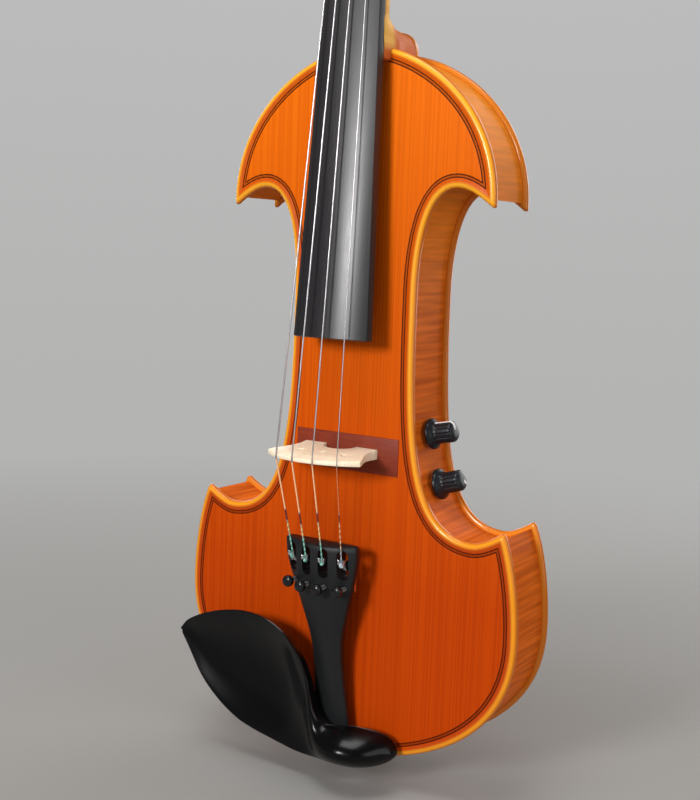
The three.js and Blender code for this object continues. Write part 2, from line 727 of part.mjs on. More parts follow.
const bridgeShape = new THREE.Shape(bridgeFace.map(([x, h]) => new THREE.Vector2(x, h)));
bridgeShape.holes = [opening(heartShares), opening(eyeShares), opening(mirrored(eyeShares))];
const bridgeGeometry = new THREE.ExtrudeGeometry(bridgeShape, { depth: 1, bevelEnabled: false });
const bridgePlaces = bridgeGeometry.getAttribute('position');
for (let i = 0; i < bridgePlaces.count; i++) {
  const [x, h, face] = [bridgePlaces.getX(i), bridgePlaces.getY(i), bridgePlaces.getZ(i)];
  const thickness = mix(bridgeFootThickness, bridgeTopThickness, h / bridgeApex);
  bridgePlaces.setXYZ(i, x + bridgeShift, -(bridgeFoot + h), bridgeLevel + bridgeTailFace + face * thickness);
}
add('bridge', bridgeGeometry, 'bridgeMaple');

// Tailpiece: a crowned, waisted shell whose axis leans a little to the treble side at its foot
const tailHeadGap = 0.1171 * bodyLength;
const tailFootGap = 0.0214 * bodyLength;
const tailLength = bridgeLevel - bodyBottom - tailHeadGap - tailFootGap;
const tailHalf = 20.5;
const tailEdgeHeight = 17.8;
const tailCrownHeight = 5.6;
const tailShares = [
  { level: 0, half: 1, edge: 1, crown: 1, under: 0.73 },
  { level: 0.087, half: 0.976, edge: 0.989, crown: 0.98, under: 0.719 },
  { level: 0.202, half: 0.829, edge: 0.933, crown: 0.893, under: 0.663 },
  { level: 0.327, half: 0.634, edge: 0.848, crown: 0.75, under: 0.584 },
  { level: 0.471, half: 0.439, edge: 0.753, crown: 0.571, under: 0.483 },
  { level: 0.587, half: 0.39, edge: 0.663, crown: 0.536, under: 0.416 },
  { level: 0.76, half: 0.424, edge: 0.539, crown: 0.464, under: 0.315 },
  { level: 0.904, half: 0.488, edge: 0.449, crown: 0.393, under: 0.27 },
  { level: 1, half: 0.512, edge: 0.404, crown: 0.357, under: 0.258 },
];
const tailStations = tailShares.map(({ level, half, edge, crown, under }) => ({
  level: -tailHeadGap - level * tailLength,
  half: half * tailHalf,
  edge: edge * tailEdgeHeight,
  crown: crown * tailCrownHeight,
  under: under * tailEdgeHeight,
}));
const tailHeadShift = -1.8;
const tailFootShift = 2;
const tailHead = tailStations[0];
const tailFoot = tailStations.at(-1);
const tailSpan = tailFoot.level - tailHead.level;
const tailAxis = level => mix(tailHeadShift, tailFootShift, (level - tailHead.level) / tailSpan);

function tailSection({ level, half, edge, crown, under }) {
  const centre = tailAxis(level);
  const z = bridgeLevel + level;
  const top = [1, 0.66, 0.33, 0, -0.33, -0.66, -1].map(share => vector(
    centre + share * half, -(plateFace + edge + crown * (1 - share * share)), z));
  const [wall, low] = [half - overrun, -(plateFace + under)];
  return [...top, vector(centre - wall, low, z), vector(centre + wall, low, z)];
}

function tailSurface(level, x) {
  const i = tailStations.findIndex(station => station.level <= level);
  const [above, below] = [tailStations[i - 1], tailStations[i]];
  const share = (level - above.level) / (below.level - above.level);
  const across = (x - tailAxis(level)) / mix(above.half, below.half, share);
  return mix(above.edge, below.edge, share) + mix(above.crown, below.crown, share) * (1 - across * across);
}

// Fine tuners: a lever in each slot, pushed by a thumb screw below it
const tunerSpacing = 9.8;
const slotHalf = 2.7;
const leverReach = 0.0686 * bodyLength;
const slotLength = 0.617 * leverReach;
const slotHeadGap = 0.092 * leverReach;
const slotSpan = [-tailHeadGap - slotHeadGap - slotLength, -tailHeadGap - slotHeadGap];
const tailReach = 30;
const leverHalf = 1.7;
const pivotPoint = { level: -tailHeadGap - 0.43 * leverReach, height: 0.91 * tailEdgeHeight };
const pivotPin = { radius: 0.8, half: 2.5 };
const screwLevel = -tailHeadGap - 0.895 * leverReach;
const screwRadius = 1.25;
const screwTip = 11.3;
const thumbHead = { radius: 3.3, length: 3.4, proud: 4.6, bore: 1.8, facets: 14 };
const hookLevel = -tailHeadGap - 0.3 * leverReach;
const hookRise = 2.6;

// The lever's side: shares of its reach below the tailpiece's head and of the tailpiece's height
const leverHookShares = { front: 0.275, back: 0.367 };
const leverShares = [
  [0.283, 0.955], [0.354, 0.685], [0.5, 0.528], [1, 0.528], [1, 0.618], [0.583, 0.618], [0.517, 0.758],
  [0.5, 1.045], [0.383, 1.146],
];
const leverLevel = share => bridgeLevel - tailHeadGap - share * leverReach;
const leverSide = hook => [
  [-plateFace - hook, leverLevel(leverHookShares.front)],
  ...leverShares.map(([level, height]) => [-plateFace - height * tailEdgeHeight, leverLevel(level)]),
  [-plateFace - hook, leverLevel(leverHookShares.back)],
];
const tunerShift = -0.8;
const tunerHalf = (3 / 2) * tunerSpacing;
const tunerXs = Object.fromEntries(Object.entries(stringShares).map(([name, share]) => (
  [name, tailAxis(screwLevel) + tunerShift + share * tunerHalf])));

const tailTools = Object.values(tunerXs).flatMap(x => [
  block([x - slotHalf, x + slotHalf], [-plateFace - tailReach, -plateFace],
    slotSpan.map(level => bridgeLevel + level)),
  rod(screwRadius + gap, -plateFace - tailReach, -plateFace, boreSides, 'y')
    .translate(x, 0, bridgeLevel + screwLevel),
]);
const gutRadius = 1.1;
const gutSpread = 4.7;
const gutLevels = { knot: 8, hole: 7 };
const gutHeight = plateFace + tailFoot.edge - overrun;
const gutBore = rod(gutRadius + gap, 0, gutLevels.knot + tailFootShift, smallSides, 'z');
const gutHoles = [-1, 1].map(sign => gutBore.clone().translate(
  tailAxis(tailFoot.level) + sign * gutSpread, -gutHeight, bridgeLevel + tailFoot.level - overrun));
add('tailpiece', cut(loft(tailStations.map(tailSection)), ...tailTools, ...gutHoles), 'blackPlastic');

for (const [name, x] of Object.entries(tunerXs)) {
  const z = bridgeLevel + screwLevel;
  const headLow = plateFace + tailSurface(screwLevel, x) + thumbHead.proud;
  const upright = geometry => geometry.scale(1, -1, 1).translate(x, 0, z);
  const shank = rod(screwRadius, plateFace + screwTip, headLow + thumbHead.bore, boreSides, 'y');
  add(`tuner_screw_${name}`, upright(shank), 'steel');
  const bore = screwRadius + gap;
  const top = headLow + thumbHead.length;
  const rim = thumbHead.radius;
  add(`tuner_knob_${name}`, upright(turned([
    [bore, headLow], [rim - gap, headLow], [rim, headLow + gap], [rim, top - 3 * gap], [rim - 3 * gap, top],
    [0, top], [0, headLow + thumbHead.bore + gap], [bore, headLow + thumbHead.bore + gap], [bore, headLow],
  ], thumbHead.facets, 'y')), 'blackPlastic');
  const lever = sidePrism(leverSide(tailSurface(hookLevel, x) + hookRise), -leverHalf, leverHalf);
  const pin = rod(pivotPin.radius, -pivotPin.half, pivotPin.half, smallSides, 'x')
    .translate(0, -(plateFace + pivotPoint.height), bridgeLevel + pivotPoint.level);
  add(`tuner_lever_${name}`, join(lever, pin), 'steel').position.x = x;
}

// Endpin, saddle and tail gut
const pinLevels = [0, pinBevel, pinHeadLength - pinBevel, pinHeadLength];
add('endpin', turned([
  [0, 0], [pinHeadRadius - 2 * pinBevel, 0], [pinHeadRadius, 2 * pinLevels[1]], [pinHeadRadius, pinLevels[2]],
  [pinGrooveRadius, pinLevels[3]], [pinGrooveRadius, pinHeadLength + pinGrooveLength],
  [pinCollarRadius, pinHeadLength + pinGrooveLength], [pinCollarRadius, ribBottom - gap],
  [pinShaftRadius, ribBottom - gap], [pinShaftRadius, ribBottom + pinShaftLength],
  [0, ribBottom + pinShaftLength],
], roundSides, 'z'), 'ebony');

const saddleRound = 1.5;
add('saddle', sidePrism([
  [-ribFace, bodyBottom], [-ribFace, bodyBottom + saddleDepth],
  [-plateFace - saddleRise, bodyBottom + saddleDepth],
  [-plateFace - saddleRise, bodyBottom + saddleRound], [-plateFace - saddleRise + saddleRound, bodyBottom],
], -saddleHalf, saddleHalf), 'ebony');

const gutOver = gutRadius + gap;
const gutLow = bodyBottom - gutOver;
const gutTop = plateFace + saddleRise + gutOver;
const gutCorner = saddleRound - gutOver * (Math.SQRT2 - 1);
const gutPinRadius = pinGrooveRadius + gutOver;
const gutFoot = bridgeLevel + tailFoot.level;
const gutSide = sign => [
  vector(tailAxis(tailFoot.level) + sign * gutSpread, -gutHeight, gutFoot + gutLevels.hole),
  vector(tailAxis(tailFoot.level) + sign * gutSpread, -gutHeight, gutFoot - gutRadius),
  vector(sign * gutPinRadius, -gutTop, bodyBottom + saddleDepth - saddleRound),
  vector(sign * gutPinRadius, -gutTop, bodyBottom + gutCorner),
  vector(sign * gutPinRadius, -plateFace - saddleRise + gutCorner, gutLow),
  vector(sign * gutPinRadius, -plateFace, gutLow),
];
const gutArc = halfTurn.map(({ cos, sin }) => vector(-gutPinRadius * cos, gutPinRadius * sin, gutLow));
add('tail_gut', tube([...gutSide(-1), ...gutArc, ...gutSide(1).reverse()], gutRadius, smallSides),
  'blackPlastic');

// Strings: from turns on the peg over the nut and the bridge to the tuner's hook
const windingTurns = 2.5;
const windingSteps = 16;
const windingStart = 1;
const stringSides = 6;
let leastWindingGap = Infinity;

function stringRoute(name) {
  const radius = gutStringRadii[name];
  const peg = pegOrder[name];
  const sign = sides[peg.side];
  const share = stringShares[name];
  const { y, z } = pegPlace(peg);
  const toBody = point => point.applyMatrix4(neckFrame.matrix);
  const nutX = (share * stringSpreadNut) / 2;
  const nutY = -(boardEdge + nutRise + crownRise(nutX, boardNutWidth / 2) + gap + radius);
  const turnRadius = pegRadius.thick + gap + radius;
  const away = { y: y - nutY, z: z - neckStop - nutLength };
  const entry = Math.atan2(away.y, away.z) - Math.asin(turnRadius / Math.hypot(away.y, away.z));
  const pitch = 2 * radius + 2 * gap;
  leastWindingGap = Math.min(leastWindingGap, pitch - 2 * radius);
  const turns = Array.from({ length: windingTurns * windingSteps + 1 }, (_, i) => {
    const turn = i / windingSteps;
    const angle = entry + 2 * Math.PI * turn;
    const [cos, sin] = [Math.cos(angle), Math.sin(angle)];
    return vector(sign * (windingStart + pitch * turn), y - turnRadius * cos, z + turnRadius * sin);
  }).reverse();
  const bridgeX = (share * stringSpreadBridge) / 2;
  const bridgeY = -(bridgeFoot + bridgeTop(bridgeX) + gap + radius);
  const midBridge = bridgeLevel + bridgeTailFace + bridgeTopThickness / 2;
  const hookHeight = tailSurface(hookLevel, tunerXs[name]) + hookRise - 3 * radius - overrun;
  return [
    ...turns.map(toBody),
    toBody(vector(nutX, nutY, neckStop + nutLength)), toBody(vector(nutX, nutY, neckStop)),
    vector(bridgeShift + bridgeX, bridgeY, midBridge + bridgeTopThickness / 2),
    vector(bridgeShift + bridgeX, bridgeY, midBridge - bridgeTopThickness / 2),
    vector(tunerXs[name], -(plateFace + hookHeight), bridgeLevel + hookLevel + overrun),
  ];
}

for (const name of Object.keys(stringShares)) {
  add(`string_${name}`, tube(stringRoute(name), gutStringRadii[name], stringSides), 'silver');
}
console.log(`least gap between a string's turns: ${leastWindingGap.toFixed(2)} mm`);

// Chinrest: a dished cup at the bass side that runs into a hump over the tailpiece's foot, on two
// legs. Each station gives its place across, its upper and lower edge levels, the heights of the top
// face at its two edges and its middle, and those of the under face, all as shares.
const chinReach = 0.1971 * bodyLength;
const chinHeight = 28;
const chinShares = [
  { x: -0.92, high: 0.729, low: 0.688, top: [0.664, 0.65, 0.629], under: [0.593, 0.579, 0.579] },
  { x: -0.881, high: 0.797, low: 0.596, top: [0.7, 0.571, 0.611], under: [0.55, 0.443, 0.479] },
  { x: -0.788, high: 0.874, low: 0.381, top: [0.736, 0.486, 0.579], under: [0.579, 0.336, 0.436] },
  { x: -0.674, high: 0.938, low: 0.228, top: [0.764, 0.429, 0.564], under: [0.607, 0.271, 0.414] },
  { x: -0.549, high: 0.984, low: 0.123, top: [0.779, 0.393, 0.554], under: [0.621, 0.236, 0.4] },
  { x: -0.446, high: 1, low: 0.077, top: [0.786, 0.375, 0.554], under: [0.625, 0.221, 0.393] },
  { x: -0.311, high: 0.978, low: 0.041, top: [0.786, 0.386, 0.557], under: [0.625, 0.229, 0.393] },
  { x: -0.207, high: 0.912, low: 0.019, top: [0.786, 0.443, 0.571], under: [0.625, 0.286, 0.393] },
  { x: -0.155, high: 0.846, low: 0.01, top: [0.786, 0.514, 0.579], under: [0.625, 0.357, 0.4] },
  { x: -0.093, high: 0.746, low: 0.006, top: [0.779, 0.6, 0.586], under: [0.621, 0.464, 0.429] },
  { x: -0.048, high: 0.601, low: 0.007, top: [0.768, 0.693, 0.596], under: [0.607, 0.479, 0.429] },
  { x: -0.016, high: 0.404, low: 0.009, top: [0.75, 0.8, 0.607], under: [0.536, 0.464, 0.429] },
  { x: 0.031, high: 0.303, low: 0.012, top: [0.661, 0.907, 0.607], under: [0.443, 0.436, 0.429] },
  { x: 0.098, high: 0.288, low: 0.013, top: [0.571, 0.979, 0.607], under: [0.429, 0.429, 0.429] },
  { x: 0.176, high: 0.303, low: 0.017, top: [0.5, 1, 0.593], under: [0.429, 0.429, 0.429] },
  { x: 0.249, high: 0.294, low: 0.026, top: [0.393, 0.921, 0.55], under: [0.214, 0.214, 0.214] },
  { x: 0.321, high: 0.271, low: 0.048, top: [0.286, 0.743, 0.45], under: [0.143, 0.143, 0.143] },
  { x: 0.373, high: 0.23, low: 0.08, top: [0.214, 0.464, 0.321], under: [0.143, 0.143, 0.143] },
  { x: 0.4, high: 0.172, low: 0.117, top: [0.179, 0.214, 0.179], under: [0.15, 0.15, 0.15] },
];
const chinStations = chinShares.map(({ x, high, low, top, under }) => ({
  x: x * lowerHalf,
  high: high * chinReach,
  low: low * chinReach,
  top: top.map(share => share * chinHeight),
  under: under.map(share => share * chinHeight),
}));
const chinTopShares = [0, 0.06, 0.2, 0.4, 0.6, 0.8, 0.94, 1];
const chinEdge = 1.4;
const chinRoundness = 0.8;
const chinLegs = {
  bass: { spanShares: [-0.425, -0.176], levelShares: [0.08, 0.37], rise: 9.2 },
  treble: { spanShares: [0.207, 0.33], levelShares: [0.101, 0.215], rise: 7 },
};
const legSpan = ({ spanShares }) => spanShares.map(share => share * lowerHalf);
const legLevels = ({ levelShares }) => levelShares.map(share => bodyBottom + share * chinReach);
const chinUnder = 3;

function chinSection({ x, high, low, top, under }) {
  const [rim, mid, lip] = top;
  const swell = mid - (rim + lip) / 2;
  const at = (level, height) => vector(x, -(plateFace + height), bodyBottom + level);
  const inset = Math.min(chinEdge, (high - low) / 4);
  return [
    ...chinTopShares.map(share => at(
      mix(high, low, share), mix(rim, lip, share) + swell * Math.sin(Math.PI * share) ** chinRoundness)),
    at(low + inset, under[2]), at(mix(high, low, 1 / 2), under[1]), at(high - inset, under[0]),
  ];
}

const chinBody = loft(chinStations.map(chinSection));
const chinLegSolids = Object.values(chinLegs).map(leg => common(
  block(legSpan(leg), [-plateFace - leg.rise, -plateFace - chinUnder], legLevels(leg)),
  prism(bodyOutline(overhang / 2), -2 * plateFace, -plateFace)));
add('chinrest', join(chinBody, ...chinLegSolids), 'blackPlastic');

const padInsetWidth = 1.5;
const padFootWidth = 4.5;
for (const [side, leg] of Object.entries(chinLegs)) {
  const [low, high] = legLevels(leg);
  add(`chinrest_pad_${side}`, block(
    widened(legSpan(leg), -padInsetWidth), [-plateFace - chinUnder + gap, -plateFace],
    [low + padFootWidth, high - padInsetWidth]), 'cork');
}

// Chinrest clamp: an upper and a lower bracket drawn together by two barrels. Each bracket lies on
// its plate and reaches over the edge to the barrels.
const clampHalf = 19.8;
const strapHalf = 3.5;
const strapThickness = 1.6;
const strapLow = 8.4;
const crossbar = [15, 20];
const postRadius = 1.3;
const postLevel = 10.1;
const barrelRadius = 2.6;
const barrelHalf = 10;
const postEntry = 6;
const clampCork = 2.3;
const clampSpan = [-clampHalf - strapHalf, clampHalf + strapHalf];

function bracket(inner, outer, facing) {
  const straps = [-1, 1].map(sign => block(
    [sign * clampHalf - strapHalf, sign * clampHalf + strapHalf], [inner, outer], [strapLow, crossbar[1]]));
  const post = rod(postRadius, barrelHalf - postEntry, (inner + outer) / 2 * facing, smallSides, 'y');
  const posts = [-1, 1].map(sign => (
    post.clone().scale(1, facing, 1).translate(sign * clampHalf, 0, postLevel)));
  return join(block(clampSpan, [inner, outer], crossbar), ...straps, ...posts);
}

const upperStrap = plateFace + gap;
add('clamp_upper', cut(
  bracket(-upperStrap - strapThickness, -upperStrap, -1),
  block(widened([-saddleHalf, saddleHalf], gap), [-2 * plateFace, -plateFace],
    [0, bodyBottom + saddleDepth + gap])), 'steel');
const lowerStrap = plateFace + clampCork;
add('clamp_lower', bracket(lowerStrap, lowerStrap + strapThickness, 1), 'steel');
add('clamp_cork', block(
  clampSpan, [plateFace, plateFace + clampCork], [bodyBottom + 2 * overrun, crossbar[1]]), 'cork');
for (const [side, sign] of Object.entries(sides)) {
  const inner = postRadius + gap;
  const barrel = turned([
    [inner, -barrelHalf], [barrelRadius, -barrelHalf], [barrelRadius, barrelHalf], [inner, barrelHalf],
    [inner, -barrelHalf],
  ], boreSides, 'y');
  add(`clamp_barrel_${side}`, barrel.translate(sign * clampHalf, 0, postLevel), 'steel');
}

// Controls: a pot behind the treble waist rib, its bushing through the rib, and a knob with its shaft
const potRadius = 8;
const potLength = 8;
const potFace = 7.5;
const shaftRadius = 2.4;
const shaftEntry = 7;
const knobShape = {
  skirt: 7.6, skirtRise: 1.2, flare: { radius: 6.4, height: 3 },
  shoulder: 3.6, body: 5.2, length: 13.8, dome: 1.4,
};
const knobSides = 18;
const skirtGap = 0.4;

for (const [name, frame] of Object.entries(knobFrames)) {
  const inner = shaftRadius + gap;
  add(`${name}_pot`, turned([
    [inner, 0], [bushingRadius, 0], [bushingRadius, -potFace], [potRadius, -potFace],
    [potRadius, -potFace - potLength], [0, -potFace - potLength], [0, -shaftEntry - gap],
    [inner, -shaftEntry - gap], [inner, 0],
  ], roundSides, 'x'), 'steel', frame);
  const { skirt, skirtRise, flare, shoulder, body, length, dome } = knobShape;
  add(`${name}_knob`, turned([
    [0, -shaftEntry], [shaftRadius, -shaftEntry], [shaftRadius, skirtGap], [skirt, skirtGap],
    [skirt, skirtGap + skirtRise], [flare.radius, flare.height], [body, shoulder],
    [body, length - dome], [body - dome, length - gap], [0, length],
  ], knobSides, 'x'), 'knobPlastic', frame);
}

// Output jack in the bass lower rib, with its collar outside and its socket open
const ribOuter = lowerHalf - overhang;
const jackCollar = { radius: 8, thickness: 3 };
const jackSocket = { radius: 3.3, depth: 30 };
const jackInner = 34;
const jackFace = ribOuter + gap + jackCollar.thickness;
add('output_jack', turned([
  [jackSocket.radius, jackFace], [jackSocket.radius, ribOuter - jackSocket.depth],
  [0, ribOuter - jackSocket.depth], [0, ribOuter - jackInner], [jackRadius, ribOuter - jackInner],
  [jackRadius, ribOuter + gap], [jackCollar.radius, ribOuter + gap], [jackCollar.radius, jackFace],
  [jackSocket.radius, jackFace],
], roundSides, 'x').scale(-1, 1, 1).translate(0, 0, jackLevel), 'steel');

// Leads inside the body, from the pickup to the volume pot and from the tone pot to the jack
const leadRadius = 0.9;
const potBack = (name, height) => (
  vector(-potFace - potLength - gap, height, 0).applyMatrix4(knobFrames[name].matrix));
const leadDrop = 3;
const leadBendShares = [0.5, 0.95];
const pickupEnd = vector(pickupHalf - leadRadius, pocketFloor + gap + pickupThickness + gap, pickupLevel);
const volumeBack = potBack('volume', -leadDrop);
const toneBack = potBack('tone', leadDrop);
add('pickup_lead', tube([
  pickupEnd, pickupEnd.clone().add(vector(0, leadDrop, 0)),
  vector(volumeBack.x - leadDrop, volumeBack.y - leadDrop, volumeBack.z - leadDrop),
  vector(volumeBack.x - leadDrop, volumeBack.y, volumeBack.z), volumeBack,
], leadRadius, smallSides), 'cordPlastic');
const jackBack = vector(-(ribOuter - jackInner) + gap, 0, jackLevel);
const leadBends = leadBendShares.map((share, i) => (
  vector(-i * waistHalf, leadDrop, mix(toneBack.z, jackLevel, share))));
add('jack_lead', tube([
  toneBack, toneBack.clone().add(vector(-leadDrop, 0, 0)), ...leadBends,
  jackBack.clone().add(vector(leadDrop, 0, 0)), jackBack,
], leadRadius, smallSides), 'cordPlastic');

export default violin;
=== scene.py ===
import math

import bmesh
import bpy
from mathutils import Matrix, Vector


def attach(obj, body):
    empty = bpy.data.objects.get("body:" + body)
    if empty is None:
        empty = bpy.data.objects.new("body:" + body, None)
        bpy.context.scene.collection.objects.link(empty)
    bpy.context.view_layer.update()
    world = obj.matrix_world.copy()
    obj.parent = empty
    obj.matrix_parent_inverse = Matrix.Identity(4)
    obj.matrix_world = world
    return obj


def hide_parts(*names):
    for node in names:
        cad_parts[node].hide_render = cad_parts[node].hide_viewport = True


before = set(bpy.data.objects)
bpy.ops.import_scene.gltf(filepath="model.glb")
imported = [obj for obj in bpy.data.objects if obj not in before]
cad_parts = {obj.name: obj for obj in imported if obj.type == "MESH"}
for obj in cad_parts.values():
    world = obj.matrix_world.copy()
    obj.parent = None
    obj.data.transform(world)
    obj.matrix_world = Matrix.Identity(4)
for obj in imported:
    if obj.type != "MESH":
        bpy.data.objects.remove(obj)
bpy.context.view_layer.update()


# Camera: a little above the belly's middle, on the treble side, looking slightly down at the bridge.
# Its axes are the photograph's right, up and backward directions in the violin's own frame.
camera_data = bpy.data.cameras.new("camera")
camera_data.lens = 55.0
camera_data.sensor_width = 36.0
camera_data.clip_start = 0.02
camera = bpy.data.objects.new("camera", camera_data)
camera.matrix_world = Matrix((
    (0.83668, -0.09799, 0.5389, 0.3247),
    (0.54645, 0.08316, -0.8334, -0.5195),
    (0.03685, 0.99171, 0.1231, 0.2651),
    (0.0, 0.0, 0.0, 1.0),
))
bpy.context.scene.collection.objects.link(camera)
bpy.context.scene.camera = camera
bpy.context.scene.view_settings.view_transform = "Standard"


# Floor and backdrop: a round table of pale grey paper that curves up into a wall all round, lit by a
# soft box in front, a wide weak panel beyond it, weaker boxes at the right, above and behind, and
# the grey room round them.
class Wire:
    """A shader socket on which Python's arithmetic works, one Math node to an operator."""

    def __init__(self, finish, socket):
        self.finish, self.socket = finish, socket

    def __add__(self, other):
        return self.finish.maths("ADD", self, other)

    def __sub__(self, other):
        return self.finish.maths("SUBTRACT", self, other)

    def __rsub__(self, other):
        return self.finish.maths("SUBTRACT", other, self)

    def __mul__(self, other):
        return self.finish.maths("MULTIPLY", self, other)

    def __truediv__(self, other):
        return self.finish.maths("DIVIDE", self, other)

    def __abs__(self):
        return self.finish.maths("ABSOLUTE", self)

    def clamped(self):
        return self.finish.maths("ADD", self, 0.0, use_clamp=True)

    __radd__, __rmul__ = __add__, __mul__


class Finish:
    """A material with one Principled shader and the nodes that vary it over a surface."""

    def __init__(self, name, **steady):
        self.material = bpy.data.materials.new(name)
        self.material.use_nodes = True
        self.tree = self.material.node_tree
        self.shader = self.tree.nodes["Principled BSDF"]
        for socket, value in steady.items():
            self.shader.inputs[socket.replace("_", " ")].default_value = value

    def node(self, kind, settings=None, inputs=None, output=0):
        node = self.tree.nodes.new(kind)
        for key, value in (settings or {}).items():
            if key == "stops":
                for _ in value[2:]:
                    node.color_ramp.elements.new(0.5)
                for element, (place, colour) in zip(node.color_ramp.elements, value):
                    element.position, element.color = place, (*colour, 1.0)
            else:
                setattr(node, key, value)
        for key, value in (inputs or {}).items():
            if isinstance(value, Wire):
                self.tree.links.new(value.socket, node.inputs[key])
            else:
                node.inputs[key].default_value = value
        return Wire(self, node.outputs[output])

    def maths(self, operation, *values, use_clamp=False):
        return self.node(
            "ShaderNodeMath", {"operation": operation, "use_clamp": use_clamp}, dict(enumerate(values)))

    def blend(self, share, first, second, kind="MIX"):
        first, second = [
            value if isinstance(value, Wire) else (*value, 1.0) for value in (first, second)]
        return self.node(
            "ShaderNodeMix", {"data_type": "RGBA", "blend_type": kind},
            {0: share, 6: first, 7: second}, 2)

    def ramp(self, share, stops):
        return self.node("ShaderNodeValToRGB", {"stops": stops}, {0: share})

    def place(self, scale=(1, 1, 1), turn=(0, 0, 0)):
        coordinates = self.node("ShaderNodeTexCoord", output="Object")
        return self.node(
            "ShaderNodeMapping", {}, {"Vector": coordinates, "Scale": scale, "Rotation": turn})

    def axis(self, name):
        return self.node("ShaderNodeSeparateXYZ", {}, {0: self.place()}, name)

    def attribute(self, name):
        return self.node("ShaderNodeAttribute", {"attribute_name": name}, output="Fac")

    def noise(self, vector, scale, detail=3.0, roughness=0.5, distortion=0.0):
        return self.node("ShaderNodeTexNoise", {}, {
            "Vector": vector, "Scale": scale, "Detail": detail, "Roughness": roughness,
            "Distortion": distortion})

    def bands(self, vector, scale, distortion=0.0, direction="X"):
        return self.node(
            "ShaderNodeTexWave", {"bands_direction": direction},
            {"Vector": vector, "Scale": scale, "Distortion": distortion, "Detail": 2.0})

    def bump(self, height, strength, depth):
        bump = self.node("ShaderNodeBump", {}, {
            "Height": height, "Strength": strength, "Distance": depth})
        self.feed(Normal=bump)

    def feed(self, **wires):
        for socket, wire in wires.items():
            self.tree.links.new(wire.socket, self.shader.inputs[socket.replace("_", " ")])


def placed(name, bm):
    """An object in the scene, made from a mesh that is then freed"""
    mesh = bpy.data.meshes.new(name)
    bm.to_mesh(mesh)
    bm.free()
    thing = bpy.data.objects.new(name, mesh)
    bpy.context.scene.collection.objects.link(thing)
    return thing


def stage_piece(name, bm, finish):
    thing = placed(name, bm)
    thing.data.materials.append(finish.material)
    thing.data.shade_smooth()
    return thing


near_grey, low_grey, high_grey = (0.30, 0.29, 0.275), (0.455, 0.455, 0.45), (0.505, 0.505, 0.505)
paper = Finish("backdrop_paper", Roughness=0.9, Specular_IOR_Level=0.0, Emission_Strength=1.0)
reach = paper.node("ShaderNodeVectorMath", {"operation": "LENGTH"}, {0: paper.place(scale=(1, 1, 0))}, 1)
distant = ((reach - 0.2) / 0.75).clamped()
shown = (paper.node("ShaderNodeLightPath", output="Is Camera Ray")
         + paper.node("ShaderNodeLightPath", output="Is Glossy Ray") * 0.3).clamped()
sky = paper.blend((paper.axis("Z") / 0.8).clamped(), low_grey, high_grey)
paper.feed(
    Base_Color=paper.blend(distant, near_grey, (0, 0, 0)),
    Emission_Color=paper.blend(distant * shown, (0, 0, 0), sky))

floor_level, floor_radius, sweep_radius, sweep_height = -0.0005, 1.3, 0.5, 2.6
bm = bmesh.new()
bmesh.ops.create_circle(
    bm, cap_ends=True, segments=96, radius=floor_radius, matrix=Matrix.Translation((0, 0, floor_level)))
stage_piece("floor", bm, paper)
bm = bmesh.new()
sweep = [bm.verts.new((
    floor_radius + sweep_radius * math.sin(turn * math.pi / 24), 0,
    floor_level + sweep_radius * (1 - math.cos(turn * math.pi / 24)))) for turn in range(13)]
sweep.append(bm.verts.new((floor_radius + sweep_radius, 0, sweep_height)))
line = [bm.edges.new(pair) for pair in zip(sweep, sweep[1:])]
bmesh.ops.spin(
    bm, geom=sweep + line, cent=(0, 0, 0), axis=(0, 0, 1), angle=2 * math.pi, steps=96, use_merge=True)
bmesh.ops.recalc_face_normals(bm, faces=bm.faces)
if bm.faces[:][0].normal.dot(bm.faces[:][0].calc_center_median()) > 0:
    bmesh.ops.reverse_faces(bm, faces=bm.faces)
wall = stage_piece("backdrop", bm, paper)
wall.visible_shadow = wall.visible_diffuse = False

middle = Vector((0.0, 0.0, 0.24))
lamps = {
    "key": (Vector((-0.10, -1.32, 0.56)), 0.30, 14.0),
    "panel": (Vector((0.06, -1.60, 0.30)), 1.1, 2.0),
    "fill": (Vector((1.25, -0.25, 0.35)), 0.9, 5.0),
    "top": (Vector((0.0, -0.25, 1.30)), 0.6, 8.0),
    "back": (Vector((0.3, 1.25, 0.6)), 1.0, 12.0),
    "side": (Vector((-1.0, 0.95, 0.4)), 0.8, 6.0),
}
for name, (spot, size, power) in lamps.items():
    lamp = bpy.data.lights.new(name, "AREA")
    lamp.size, lamp.energy = size, power
    holder = bpy.data.objects.new(name, lamp)
    holder.location = spot
    holder.rotation_euler = (middle - spot).to_track_quat("-Z", "Y").to_euler()
    bpy.context.scene.collection.objects.link(holder)

world = bpy.data.worlds.new("room")
world.use_nodes = True
bpy.context.scene.world = world
room_light = world.node_tree.nodes["Background"]
room_light.inputs["Color"].default_value = (0.62, 0.62, 0.64, 1.0)
room_light.inputs["Strength"].default_value = 0.34


